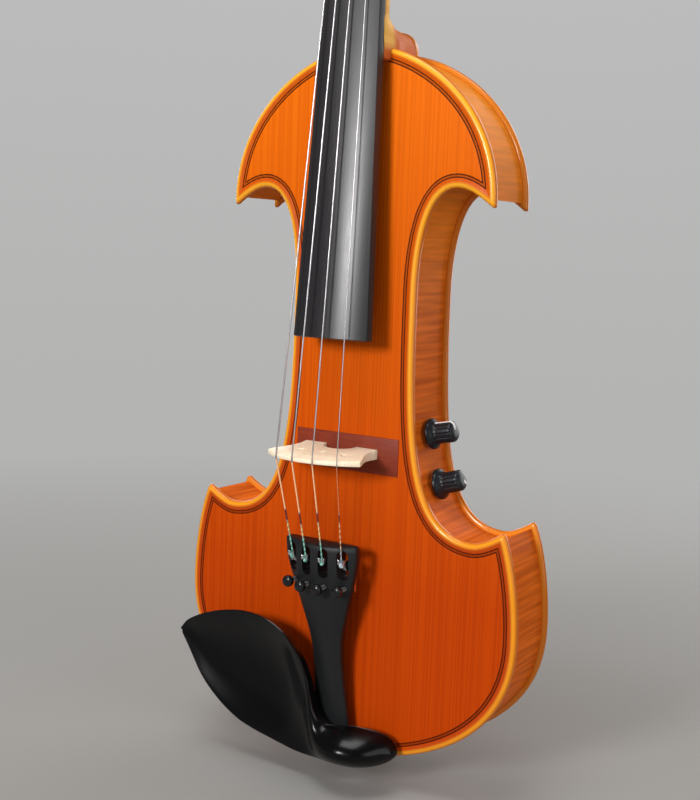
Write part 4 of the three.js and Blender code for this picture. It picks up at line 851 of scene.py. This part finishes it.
bridge_face = bridge_points(side_shares)
bridge_face += [(share * bridge_top_half, bridge_top(share * bridge_top_half)) for share in top_shares]
bridge_face += bridge_points(side_shares[::-1], -1)
bridge_face += bridge_points(arch_shares, -1) + bridge_points(arch_shares[-2::-1])
side_end, top_end = len(side_shares), len(side_shares) + len(top_shares)
other_end = top_end + side_end
corner_points = {
    0, 1, side_end, top_end - 1, other_end - 2, other_end - 1, other_end, len(bridge_face) - 1}


def cut_face(name, outlines, thickness, rounding):
    """A flat shape with holes, as a mesh: outlines are points and the numbers of the sharp ones"""
    data = bpy.data.curves.new(name, "CURVE")
    data.dimensions, data.fill_mode = "2D", "BOTH"
    data.resolution_u = 6
    data.extrude, data.bevel_depth, data.bevel_resolution = thickness / 2 - rounding, rounding, 2
    data.offset = -rounding
    for points, corners in outlines:
        spline = data.splines.new("BEZIER")
        spline.bezier_points.add(len(points) - 1)
        spline.use_cyclic_u = True
        for i, (knot, (x, y)) in enumerate(zip(spline.bezier_points, points)):
            knot.co = (x, y, 0)
            knot.handle_left_type = knot.handle_right_type = "VECTOR" if i in corners else "AUTO"
    thing = bpy.data.objects.new(name, data)
    bpy.context.scene.collection.objects.link(thing)
    return applied(thing)


bridge_foot_thickness, bridge_top_thickness, bridge_tail_face = 4.9, 1.8, -0.4
blank_thickness = 4.0
bm = cut_face("bridge_face", [
    (bridge_face, corner_points), (bridge_points(heart_shares), {0, 5}),
    (bridge_points(eye_shares), set()), (bridge_points(eye_shares, -1), set())], blank_thickness, 0.3)
for vert in bm.verts:
    x, h, face = vert.co
    share = face / blank_thickness + 0.5
    thickness = bridge_foot_thickness + (bridge_top_thickness - bridge_foot_thickness) * h / bridge_apex
    vert.co = (x + bridge_shift, bridge_foot_y - h, bridge_level + bridge_tail_face + share * thickness)
piece("bridge_wood", bm, bridge_maple, "bridge", crease=50)


def from_node(name, bevel=0.3, segments=2):
    """A copy of a fitting's solid, with its edges eased"""
    bm = bmesh.new()
    bm.from_mesh(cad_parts[name].data)
    bmesh.ops.scale(bm, vec=(1 / MILLIMETRE,) * 3, verts=bm.verts)
    bmesh.ops.remove_doubles(bm, verts=bm.verts, dist=0.001)
    bmesh.ops.dissolve_limit(bm, angle_limit=math.radians(1), verts=bm.verts, edges=bm.edges)
    sharp = [edge for edge in bm.edges
             if len(edge.link_faces) == 2 and edge.calc_face_angle(0) > math.radians(25)]
    bmesh.ops.bevel(
        bm, geom=sharp, offset=bevel, offset_type="OFFSET", segments=segments, profile=0.5,
        affect="EDGES", material=-1, clamp_overlap=True)
    return bm


rosewood = Finish("rosewood", Roughness=0.45, Specular_IOR_Level=0.12)
rose_grain = rosewood.noise(rosewood.place(scale=(0.08, 1, 1)), 800, 4, 0.7)
rose_cloud = rosewood.noise(rosewood.place(), 90, 2)
rose_tone = rosewood.blend(rose_grain, (0.085, 0.011, 0.005), (0.36, 0.056, 0.020))
rosewood.feed(Base_Color=rosewood.blend(rose_cloud * 0.45, rose_tone, (0.16, 0.030, 0.022)))
rosewood.bump(rose_grain, 0.25, 0.0001)
piece("bridge_seat", from_node("bridge_plate", 0.25), rosewood, "bridge_plate")


# Strings: steel wound on a fibre core. Each is wound on its peg, runs over the nut and the bridge,
# and ends in a ball held under its tuner's fork. Coloured silk is wrapped round both ends.
def string_steel(name, silk):
    """Wound steel with silk on it, each stretch given by its upper and lower level and two tones"""
    finish = Finish(name)
    level = finish.axis("Z")
    colour = finish.blend(
        finish.bands(finish.place(), 900, 0, "Z") * 0.25, (0.56, 0.54, 0.55), (0.36, 0.35, 0.36))
    twist = finish.bands(finish.place(turn=(0, 0.9, 0)), 190, 0, "Z")
    covered = 0.0
    for top, low, *tones in silk:
        on = ((top - level) / silk_edge).clamped() * ((level - low) / silk_edge).clamped()
        colour = finish.blend(on, colour, finish.blend(twist, *tones))
        covered = on + covered
    covered = covered.clamped()
    finish.feed(Base_Color=colour, Metallic=1.0 - covered, Roughness=covered * 0.3 + 0.3)
    return finish


silk_top, silk_low, silk_edge = 0.1634, 0.1100, 0.0006
cream, cream_shade = (0.86, 0.50, 0.25), (0.82, 0.45, 0.21)
dark_red, dark_brown = (0.16, 0.012, 0.012), (0.07, 0.012, 0.006)
gold, turquoise, deep_green = (0.80, 0.58, 0.25), (0.30, 0.62, 0.50), (0.07, 0.22, 0.17)
silks = {
    "g": [(silk_top, cream, cream_shade), (0.1378, dark_red, dark_brown),
          (0.1318, gold, (0.30, 0.24, 0.08)), (0.1250, turquoise, deep_green)],
    "d": [(silk_top, cream, cream_shade), (0.1378, dark_red, dark_brown),
          (0.1318, gold, (0.50, 0.26, 0.10)), (0.1255, turquoise, deep_green)],
    "a": [(silk_top, cream, cream_shade), (0.1395, dark_brown, dark_red),
          (0.1345, gold, (0.62, 0.33, 0.10)), (0.1250, turquoise, deep_green)],
    "e": [(silk_top, (0.62, 0.20, 0.06), (0.50, 0.14, 0.04)), (0.1400, dark_red, dark_brown),
          (0.1355, (0.88, 0.60, 0.34), (0.34, 0.12, 0.04)),
          (0.1220, (0.62, 0.70, 0.74), (0.25, 0.30, 0.34))],
}
peg_silks = {
    "g": (0.05, 0.16, 0.13), "d": (0.05, 0.10, 0.25), "a": (0.30, 0.03, 0.03),
    "e": (0.40, 0.20, 0.03)}
string_radii = {"g": 0.42, "d": 0.40, "a": 0.35, "e": 0.25}
tuner_xs = {"g": -16.515, "d": -6.715, "a": 3.085, "e": 12.885}
hook_level, hook_heights = 115.81, {"g": 20.44, "d": 23.19, "a": 23.41, "e": 21.17}
hook_reach, ball_drop, nut_top, nut_back = 1.0, 2.2, 4.2, 2.5
winding_turns, winding_steps, winding_gap, winding_start = 2.5, 24, 0.6, 1.0
peg_radius, ball_radius, bridge_notch_half = 4.05, 1.1, 0.9


def string_route(name):
    radius, share, (peg_share, side) = string_radii[name], nut_shares[name], pegs[name]
    peg_y, peg_z = peg_place(peg_share)
    nut_x = share * nut_spread / 2
    nut_y = -(board_edge + nut_rise + crown(nut_x, nut_half) + 0.05 + radius)
    turn_radius = peg_radius + radius
    dy, dz = peg_y - nut_y, peg_z - neck_stop - 5.0
    entry = math.atan2(dy, dz) - math.asin(turn_radius / math.hypot(dy, dz))
    pitch = 2 * radius + winding_gap
    route = []
    for i in range(int(winding_turns * winding_steps), -1, -1):
        angle = entry + 2 * math.pi * i / winding_steps
        route.append((side * (winding_start + pitch * i / winding_steps),
                      peg_y - turn_radius * math.cos(angle), peg_z + turn_radius * math.sin(angle)))
    route += [(nut_x, nut_y, neck_stop + nut_top), (nut_x, nut_y - 0.03, neck_stop + nut_back),
              (nut_x, nut_y, neck_stop)]
    bridge_x = share * string_spread / 2
    bridge_y = bridge_foot_y - bridge_top(bridge_x) - radius
    middle = bridge_level + bridge_tail_face + bridge_top_thickness / 2
    x, y = tuner_xs[name], -plate_face - hook_heights[name]
    return [neck_frame @ Vector(point) for point in route] + [Vector(point) for point in (
        (bridge_shift + bridge_x, bridge_y, middle + bridge_notch_half),
        (bridge_shift + bridge_x, bridge_y, middle - bridge_notch_half),
        (x, y, hook_level + hook_reach), (x, y + 0.2, hook_level - ball_drop))]


def tube(bm, route, radius, sides=10):
    """A tube along a route, with its rings square to it"""
    rings, side = [], (route[1] - route[0]).normalized().orthogonal().normalized()
    for i, point in enumerate(route):
        ahead = (route[min(i + 1, len(route) - 1)] - route[max(i - 1, 0)]).normalized()
        side = (side - ahead * side.dot(ahead)).normalized()
        up = ahead.cross(side)
        rings.append([point + (side * c + up * s) * radius for c, s in circle(sides)])
    return loft(bm, rings)


for name, radius in string_radii.items():
    route = string_route(name)
    bm = tube(bmesh.new(), route, radius)
    bmesh.ops.create_icosphere(
        bm, subdivisions=3, radius=ball_radius, matrix=Matrix.Translation(route[-1]))
    lows = [row[0] for row in silks[name][1:]] + [silk_low]
    stretches = [(top, low, *tones) for (top, *tones), low in zip(silks[name], lows)]
    stretches.append((0.70, 0.4885, peg_silks[name], tuple(tone * 0.4 for tone in peg_silks[name])))
    finish = string_steel(f"string_steel_{name}", stretches)
    piece(f"string_{name}_wound", bm, finish, f"string_{name}")


# Tailpiece: a moulded black shell, crowned across and waisted along, with four slots for its
# built-in tuners. It hangs between the strings and the tail gut.
tail_plastic = Finish("tailpiece_plastic", Specular_IOR_Level=0.3)
tail_speck = tail_plastic.noise(tail_plastic.place(), 2200, 3, 0.6)
tail_cloud = tail_plastic.noise(tail_plastic.place(), 60, 2)
tail_plastic.feed(
    Base_Color=tail_plastic.blend(
        tail_speck * 0.5 + tail_cloud * 0.3, (0.006, 0.0065, 0.007), (0.013, 0.014, 0.015)),
    Roughness=tail_speck * 0.14 + 0.40)
tail_plastic.bump(tail_speck, 0.12, 0.00006)

tail_shares = [
    (0.0, 1.0, 1.0, 1.0, 0.73), (0.087, 0.976, 0.989, 0.98, 0.719),
    (0.202, 0.829, 0.933, 0.893, 0.663), (0.327, 0.634, 0.848, 0.75, 0.584),
    (0.471, 0.439, 0.753, 0.571, 0.483), (0.587, 0.39, 0.663, 0.536, 0.416),
    (0.76, 0.424, 0.539, 0.464, 0.315), (0.904, 0.488, 0.449, 0.393, 0.27),
    (1.0, 0.512, 0.404, 0.357, 0.258)]
tail_head_gap, tail_foot_gap = 40.985, 7.49
tail_head = bridge_level - tail_head_gap
tail_length = tail_head - body_low - tail_foot_gap
tail_half, tail_edge, tail_crown, head_dip = 20.5, 17.8, 5.6, 0.9
head_x, foot_shift = -1.8, 3.8


def through(rows, place):
    """A smooth value between rows of numbers whose first column is the place"""
    i = max(0, min(len(rows) - 2, sum(1 for row in rows[1:-1] if row[0] <= place)))
    a, b = rows[i], rows[i + 1]
    before, after = rows[max(i - 1, 0)], rows[min(i + 2, len(rows) - 1)]
    span = b[0] - a[0]
    t = (place - a[0]) / span
    values = []
    for k in range(1, len(a)):
        start = (b[k] - before[k]) / (b[0] - before[0]) * span
        end = (after[k] - a[k]) / (after[0] - a[0]) * span
        values.append(
            (2 * t ** 3 - 3 * t ** 2 + 1) * a[k] + (t ** 3 - 2 * t ** 2 + t) * start
            + (3 * t ** 2 - 2 * t ** 3) * b[k] + (t ** 3 - t ** 2) * end)
    return values


def tail_axis(share):
    return head_x + foot_shift * share


def tail_surface(share, x):
    half, edge, rise, _ = through(tail_shares, share)
    reach = (x - tail_axis(share)) / (half * tail_half)
    return edge * tail_edge + rise * tail_crown * (1 - reach * reach)


def tail_ring(share, shrink=0.0):
    half, edge, rise, under = through(tail_shares, share)
    half = half * tail_half - shrink
    z = tail_head - share * tail_length
    dip = head_dip * max(0.0, 1 - share / 0.05)
    high, low = edge * tail_edge - shrink, under * tail_edge + shrink
    ring = []
    for c, _ in half_turn(28):
        x = half * c
        height = high + rise * tail_crown * (1 - (x / (half + 0.01)) ** 2)
        ring.append((x * (1 - 0.5 / half) if abs(x) > half - 0.02 else x, height))
    ring += [(-half, high - 0.7), (-half + 0.4, low + 0.9), (-half + 1.2, low), (half - 1.2, low),
             (half - 0.4, low + 0.9), (half, high - 0.7)]
    return [
        Vector((tail_axis(share) + x, -plate_face - height, z - dip * (1 - (x / half) ** 2)))
        for x, height in ring]


stations = [(0.0, 0.9), (0.004, 0.35), *[(0.011 + 0.978 * i / 44, 0.0) for i in range(45)]]
stations += [(0.996, 0.35), (1.0, 0.9)]
bm = loft(bmesh.new(), [tail_ring(share, shrink) for share, shrink in stations])
bmesh.ops.recalc_face_normals(bm, faces=bm.faces)
slot_half, slot_high, slot_low = 2.7, 120.8, 106.0
screw_level, screw_radius, screw_hole = 101.521, 1.25, 1.7
cutting = bmesh.new()
for x in tuner_xs.values():
    outline = [(x + slot_half * c, slot_high - slot_half + slot_half * s) for c, s in half_turn(10)]
    outline += [(x - slot_half * c, slot_low + slot_half - slot_half * s) for c, s in half_turn(10)]
    loft(cutting, [[Vector((px, y, pz)) for px, pz in outline] for y in (-50.0, -18.0)])
    turned(cutting, [(0, -86.0), (screw_hole, -86.0), (screw_hole, -18.0), (0, -18.0)], "y", 24,
           Matrix.Translation((x, 0, screw_level)))
piece("tailpiece_shell", cut_away(bm, cutting), tail_plastic, "tailpiece", crease=40)


# Fine tuners: a chromed lever with a notched fork swings in each slot, and a thumb screw with a
# black knurled head pushes its tail down.
def speckled(name, grain, tones, gloss=None, scale=(1, 1, 1), **steady):
    """A finish whose tone and gloss follow one noise, given by its scale, detail and roughness"""
    finish = Finish(name, **steady)
    speck = finish.noise(finish.place(scale=scale), *grain)
    finish.feed(Base_Color=finish.blend(speck, *tones))
    if gloss:
        finish.feed(Roughness=speck * gloss[0] + gloss[1])
    return finish, speck


chrome, _ = speckled(
    "chromed_steel", (900, 4, 0.6), ((0.84, 0.85, 0.87), (0.64, 0.65, 0.68)), (0.2, 0.12), Metallic=1.0)
screw_steel, _ = speckled(
    "tuner_screw_steel", (900,), ((0.30, 0.29, 0.29), (0.16, 0.15, 0.15)), Metallic=1.0, Roughness=0.3)
head_plastic, _ = speckled(
    "tuner_head_black", (1800,), ((0.003, 0.0035, 0.004), (0.010, 0.011, 0.012)), (0.16, 0.14),
    Specular_IOR_Level=0.4)
screw_low, thread_low, thread_pitch, thread_depth = plate_face + 11.3, plate_face + 12.0, 0.36, 0.22
knurls, knurl_depth = 30, 0.16
cap_profile = [
    (1.4, 0.0, 0), (2.3, 0.0, 0), (2.65, 0.15, 0.5), (2.85, 0.5, 1), (2.85, 2.1, 1), (2.75, 2.45, 0.6),
    (2.45, 2.85, 0), (1.85, 3.15, 0), (1.1, 3.33, 0), (0.4, 3.4, 0)]
head_stand, fork_drop, fork_height, notch_size = 4.6, 1.2, 1.0, (1.3, 6.4, 8.0)
for name, x in tuner_xs.items():
    head_low = plate_face + tail_surface((tail_head - screw_level) / tail_length, x) + head_stand
    shank = [(0.0, screw_low), (0.9, screw_low), (screw_radius - 0.15, screw_low + 0.4)]
    ridge = thread_low
    while ridge < head_low + 1.2:
        shank += [(screw_radius, ridge), (screw_radius - thread_depth, ridge + thread_pitch / 2)]
        ridge += thread_pitch
    shank += [(screw_radius - 0.2, head_low + 1.5), (0.0, head_low + 1.5)]
    bm = turned(bmesh.new(), shank, "y", 20,
                Matrix.Translation((x, 0, screw_level)) @ Matrix.Scale(-1, 4, (0, 1, 0)))
    piece(f"tuner_{name}_shank", bm, screw_steel, f"tuner_screw_{name}",
          f"tuner_{name}_screw", 60)
    rings = []
    for radius, rise, grip in cap_profile:
        radii = [radius, radius - grip * knurl_depth]
        rings.append([
            Vector((x + radii[i % 2] * c, -(head_low + rise), screw_level + radii[i % 2] * s))
            for i, (c, s) in enumerate(circle(2 * knurls))])
    piece(f"tuner_{name}_cap", loft(bmesh.new(), rings), head_plastic, f"tuner_knob_{name}",
          f"tuner_{name}_head", 50)
    bm = from_node(f"tuner_lever_{name}")
    tip = min(vert.co.y for vert in bm.verts)
    fork = [vert for vert in bm.verts if vert.co.y < tip + fork_height]
    bmesh.ops.translate(bm, vec=(0, fork_drop, 0), verts=fork)
    notch = bmesh.new()
    bmesh.ops.create_cube(notch, size=1.0)
    bmesh.ops.scale(notch, vec=notch_size, verts=notch.verts)
    bmesh.ops.translate(notch, vec=(x, tip, hook_level), verts=notch.verts)
    piece(f"tuner_{name}_fork", cut_away(bm, notch), chrome, f"tuner_lever_{name}",
          f"tuner_{name}_lever")


# Tail gut, saddle and endpin: a nylon loop runs from the tailpiece over an ebony saddle and round the
# groove of the turned ebony endpin, whose shaft is pushed into the end block.
nylon, nylon_speck = speckled(
    "tail_nylon", (1500,), ((0.010, 0.010, 0.012), (0.030, 0.030, 0.034)), Roughness=0.4)
nylon.bump(nylon_speck, 0.1, 0.00005)
gut_radius, gut_spread, pin_spread, pin_level = 1.1, 4.7, 5.2, 10.1
gut_top = plate_face + 4.0 + gut_radius + 0.1
gut_y = -(plate_face + tail_shares[-1][2] * tail_edge - 1.0)


def gut_side(sign):
    x, knot_x = sign * pin_spread, 2 + sign * gut_spread
    return [Vector(point) for point in (
        (knot_x, gut_y, 27.0), (knot_x, gut_y, 18.0), (sign * 5.6, -gut_top, 17.0), (x, -gut_top, 13.5),
        (x, -gut_top + 1.0, 11.6), (x, -gut_top + 3.0, 10.6), (x, -16.0, 10.2), (x, -6.0, pin_level))]


loop = [Vector((-pin_spread * c, pin_spread * s, pin_level)) for c, s in half_turn(20)]
bm = tube(bmesh.new(), gut_side(-1) + loop + gut_side(1)[::-1], gut_radius, 14)
piece("tail_loop", bm, nylon, "tail_gut")
piece("saddle_ebony", from_node("saddle", 0.5, 3), ebony, "saddle")
bm = turned(bmesh.new(), [
    (0.0, 0.0), (4.6, 0.0), (5.6, 0.4), (6.6, 1.3), (7.25, 2.6), (7.5, 4.3), (7.5, 6.3), (7.1, 7.5),
    (6.2, 8.2), (4.6, 8.6), (4.0, 9.1), (4.0, 11.2), (4.4, 11.6), (5.0, 11.9), (5.0, 13.4), (4.6, 13.7),
    (3.9, 13.7), (3.9, 37.6), (3.5, 38.0), (0.0, 38.0)], "z", 64)
piece("endpin_ebony", bm, ebony, "endpin")


# Chinrest: a moulded cup at the bass side that runs into a hump over the tailpiece's foot. It stands
# on cork-faced legs, and a clamp at the tail draws it against both plates.
chin_plastic = Finish("chinrest_black", Specular_IOR_Level=0.2)
chin_speck = chin_plastic.noise(chin_plastic.place(), 1600, 3, 0.6)
chin_cloud = chin_plastic.noise(chin_plastic.place(), 35, 2)
chin_plastic.feed(
    Base_Color=chin_plastic.blend(chin_speck * 0.5, (0.001, 0.001, 0.0012), (0.003, 0.003, 0.0034)),
    Roughness=chin_speck * 0.06 + chin_cloud * 0.06 + 0.15)
chin_plastic.bump(chin_speck, 0.08, 0.00006)
chin_reach, chin_height = 68.985, 28.0
chin_rows = [
    (-0.92, 0.729, 0.688, 0.664, 0.65, 0.629, 0.593, 0.579, 0.579),
    (-0.881, 0.797, 0.596, 0.7, 0.571, 0.611, 0.55, 0.443, 0.479),
    (-0.788, 0.874, 0.381, 0.736, 0.486, 0.579, 0.579, 0.336, 0.436),
    (-0.674, 0.938, 0.228, 0.764, 0.429, 0.564, 0.607, 0.271, 0.414),
    (-0.549, 0.984, 0.123, 0.779, 0.393, 0.554, 0.621, 0.236, 0.4),
    (-0.446, 1.0, 0.077, 0.786, 0.375, 0.554, 0.625, 0.221, 0.393),
    (-0.311, 0.978, 0.041, 0.786, 0.386, 0.557, 0.625, 0.229, 0.393),
    (-0.207, 0.912, 0.019, 0.786, 0.443, 0.571, 0.625, 0.286, 0.393),
    (-0.155, 0.846, 0.01, 0.786, 0.53, 0.579, 0.625, 0.357, 0.4),
    (-0.093, 0.746, 0.006, 0.779, 0.63, 0.586, 0.621, 0.464, 0.429),
    (-0.048, 0.601, 0.007, 0.768, 0.712, 0.596, 0.607, 0.479, 0.429),
    (-0.016, 0.404, 0.009, 0.75, 0.782, 0.607, 0.536, 0.464, 0.429),
    (0.031, 0.303, 0.012, 0.661, 0.875, 0.607, 0.443, 0.436, 0.429),
    (0.098, 0.288, 0.013, 0.571, 0.965, 0.607, 0.429, 0.429, 0.429),
    (0.176, 0.303, 0.017, 0.5, 1.0, 0.593, 0.429, 0.429, 0.429),
    (0.249, 0.294, 0.026, 0.393, 0.921, 0.55, 0.214, 0.214, 0.214),
    (0.321, 0.271, 0.048, 0.286, 0.743, 0.45, 0.143, 0.143, 0.143),
    (0.373, 0.23, 0.08, 0.214, 0.464, 0.321, 0.143, 0.143, 0.143),
    (0.4, 0.172, 0.117, 0.179, 0.214, 0.179, 0.15, 0.15, 0.15)]
across_steps, chin_step = 30, 1.6
chin_shifts = (-0.04, -0.02, 0.0, 0.02, 0.04)
hump_fullness, hollow_fullness = 0.8, 1.15


def chin_ring(place):
    """Round the rest at a place across: its top from the far edge to the near one, then its underside"""
    high, low = (value * chin_reach for value in through(chin_rows, place)[:2])
    near = [through(chin_rows, min(max(place + shift, chin_rows[0][0]), chin_rows[-1][0]))
            for shift in chin_shifts]
    rim, mid, lip, under_high, under_mid, under_low = (
        sum(column) / len(near) * chin_height for column in list(zip(*near))[2:])
    swell = mid - (rim + lip) / 2
    fullness = hump_fullness if swell > 0 else hollow_fullness
    inset, ease = min(1.4, (high - low) / 4), min(1.0, (high - low) / 8)
    ring = [(high - 0.15 * ease, rim - 0.9 * ease), (high, rim - 0.55 * ease)]
    for i in range(across_steps + 1):
        share = i / across_steps
        level = high + (low - high) * share
        rise = rim + (lip - rim) * share + swell * max(0.0, math.sin(math.pi * share)) ** fullness
        if i in (0, across_steps):
            level += (-0.35 if i == 0 else 0.35) * ease
            rise -= 0.1 * ease
        ring.append((level, rise))
    ring += [(low, lip - 0.6 * ease), (low + 0.2 * ease, lip - 1.1 * ease), (low + inset, under_low),
             ((high + low) / 2, under_mid), (high - inset, under_high)]
    return [Vector((place * lower_half, -plate_face - rise, body_low + level)) for level, rise in ring]


places = []
for a, b in zip(chin_rows, chin_rows[1:]):
    steps = max(2, round((b[0] - a[0]) * lower_half / chin_step))
    places += [a[0] + (b[0] - a[0]) * i / steps for i in range(steps)]
bm = loft(bmesh.new(), [chin_ring(place) for place in (*places, chin_rows[-1][0])])
leg_foot = 3.0
for left_x, right_x, low_z, high_z, rise in (
        (-41.0, -17.0, 17.02, 37.02, 9.2), (20.0, 31.8, 18.47, 26.33, 7.0)):
    leg = bmesh.ops.create_cube(bm, size=1.0)["verts"]
    bmesh.ops.scale(bm, vec=(right_x - left_x, rise - leg_foot, high_z - low_z), verts=leg)
    bmesh.ops.translate(bm, verts=leg, vec=(
        (left_x + right_x) / 2, -plate_face - (rise + leg_foot) / 2, (low_z + high_z) / 2))
    bmesh.ops.bevel(
        bm, geom=list({edge for vert in leg for edge in vert.link_edges}), offset=1.2,
        offset_type="OFFSET", segments=3, profile=0.5, affect="EDGES", material=-1)
piece("chinrest_cup", bm, chin_plastic, "chinrest", crease=45)

cork = Finish("cork", Roughness=0.85)
cork_grain = cork.noise(cork.place(), 900, 4, 0.6)
cork_pits = cork.ramp(cork.noise(cork.place(), 420), [(0.56, (0, 0, 0)), (0.66, (1, 1, 1))])
cork_tone = cork.blend(cork_grain, (0.30, 0.16, 0.07), (0.60, 0.38, 0.20))
cork.feed(Base_Color=cork.blend(cork_pits * 0.7, cork_tone, (0.13, 0.06, 0.025)))
cork.bump(cork_grain, 0.4, 0.0002)
barrel_half = [(2.6, 2.0), (2.35, 2.2), (2.35, 2.8), (2.6, 3.0), (2.6, 9.7), (2.3, 10.0), (1.6, 10.0)]
barrel = [(radius, -along) for radius, along in barrel_half[::-1]] + barrel_half
barrel_x, barrel_level = 19.8, 10.1
for side in ("bass", "treble"):
    node = f"chinrest_pad_{side}"
    piece(f"chinrest_cork_{side}", from_node(node), cork, node)
piece("clamp_cork_sheet", from_node("clamp_cork"), cork, "clamp_cork")
for name in ("clamp_upper", "clamp_lower"):
    piece(f"{name}_bracket", from_node(name), chrome, name)
for side, sign in (("bass", -1), ("treble", 1)):
    bm = turned(bmesh.new(), barrel + barrel[:1], "y", 40,
                Matrix.Translation((sign * barrel_x, 0, barrel_level)))
    piece(f"clamp_barrel_{side}_steel", bm, chrome, f"clamp_barrel_{side}")


# Knobs: moulded black plastic with a flared skirt, a fluted grip and a painted white pointer that
# runs along the grip and over its end. Each is pushed on the shaft of its pot.
knob_plastic, _ = speckled(
    "knob_black", (1500,), ((0.004, 0.005, 0.007), (0.012, 0.014, 0.018)), (0.12, 0.28),
    Specular_IOR_Level=0.3)
pointer_white, _ = speckled(
    "pointer_white", (1200,), ((0.72, 0.72, 0.72), (0.9, 0.9, 0.9)), Roughness=0.4)
knobs = {"volume": (36.918, 176.35, 12.0, 105.0), "tone": (42.369, 152.025, 17.0, -35.0)}
knob_sides, grip_flutes, groove_depth = 144, 12, 0.42
knob_profile = [
    (2.4, -7.0, 0), (2.4, 0.4, 0), (6.9, 0.4, 0), (7.6, 0.7, 0), (7.6, 1.5, 0), (7.1, 2.2, 0),
    (6.3, 3.0, 0), (5.6, 3.7, 0.1), (5.25, 4.6, 0.6), (5.2, 5.4, 1), (5.2, 11.8, 1), (5.05, 12.5, 0.9),
    (4.7, 13.0, 0.5), (4.0, 13.5, 0.1), (2.8, 13.72, 0), (1.4, 13.8, 0), (0.3, 13.8, 0)]
pointer_line = [
    (5.6, 3.9), (5.32, 5.0), (5.28, 11.8), (5.12, 12.6), (4.75, 13.15), (4.0, 13.62), (2.8, 13.84),
    (1.2, 13.9)]
pointer_half, root_half = 0.7, 0.65
for name, (x, z, tilt, turn) in knobs.items():
    place = Matrix.Translation((x, 0, z)) @ Matrix.Rotation(math.radians(-tilt), 4, "Y")
    grooves = [max(0.0, math.cos(grip_flutes * 2 * math.pi * i / knob_sides)) ** 3 * groove_depth
               for i in range(knob_sides)]
    bm = loft(bmesh.new(), [[
        Vector((along, (radius - groove * grip) * c, (radius - groove * grip) * s))
        for groove, (c, s) in zip(grooves, circle(knob_sides))]
        for radius, along, grip in knob_profile])
    bmesh.ops.transform(bm, matrix=place, verts=bm.verts)
    piece(f"{name}_knob_body", bm, knob_plastic, f"{name}_knob", f"{name}_knob", 50)
    bm = loft(bmesh.new(), [[
        Vector((along, radius, -pointer_half)), Vector((along, radius, pointer_half)),
        Vector((along - 0.25, radius - 0.5, root_half)),
        Vector((along - 0.25, radius - 0.5, -root_half))]
        for radius, along in pointer_line])
    spin = Matrix.Rotation(math.radians(turn), 4, "X")
    bmesh.ops.transform(bm, matrix=place @ spin, verts=bm.verts)
    piece(f"{name}_pointer", bm, pointer_white, None, f"{name}_knob")


# Output jack: a nickel-plated collar and nut on the bass lower rib, with its socket open. The lead
# from the pots ends at it inside the body.
jack_level, jack_x, jack_end, socket_floor = 87.8, 94.3, 60.0, 64.0
bm = turned(bmesh.new(), [
    (3.3, jack_x + 2.8), (3.6, jack_x + 3.0), (6.6, jack_x + 3.0), (7.7, jack_x + 2.6),
    (8.0, jack_x + 1.9), (8.0, jack_x), (5.0, jack_x), (5.0, jack_end), (0.0, jack_end),
    (0.0, socket_floor), (3.3, socket_floor), (3.3, jack_x + 2.8)],
    "x", 64, Matrix.Translation((0, 0, jack_level)) @ Matrix.Scale(-1, 4, (1, 0, 0)))
piece("jack_collar", bm, chrome, "output_jack", crease=40)


# Inside the body: pale blocks glued to the ribs, the pickup under the bridge plate, the two pots and
# the leads between them. They keep their solids and get their real finishes.
block_wood = Finish("block_spruce", Roughness=0.75)
block_grain = block_wood.bands(block_wood.place(scale=(1, 1, 0.05)), 160, 1.5)
block_wood.feed(Base_Color=block_wood.blend(block_grain, (0.62, 0.44, 0.23), (0.78, 0.60, 0.36)))
block_wood.bump(block_grain, 0.2, 0.0002)
lead_plastic, _ = speckled(
    "lead_plastic", (1200,), ((0.008, 0.008, 0.009), (0.03, 0.03, 0.032)), Roughness=0.5)
brass, _ = speckled(
    "pickup_brass", (1200, 4), ((0.55, 0.38, 0.14), (0.72, 0.54, 0.25)), scale=(0.1, 1, 1),
    Metallic=1.0, Roughness=0.35)
inside_finishes = {
    block_wood: ["top_block", "end_block", "bridge_block", *[
        f"{level}_corner_block_{side}" for level in ("upper", "lower") for side in ("bass", "treble")]],
    chrome: ["volume_pot", "tone_pot"],
    lead_plastic: ["pickup_lead", "jack_lead"],
    brass: ["pickup"],
}
for finish, names in inside_finishes.items():
    for name in names:
        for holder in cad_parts[name].material_slots:
            holder.link = "OBJECT"
            holder.material = finish.material
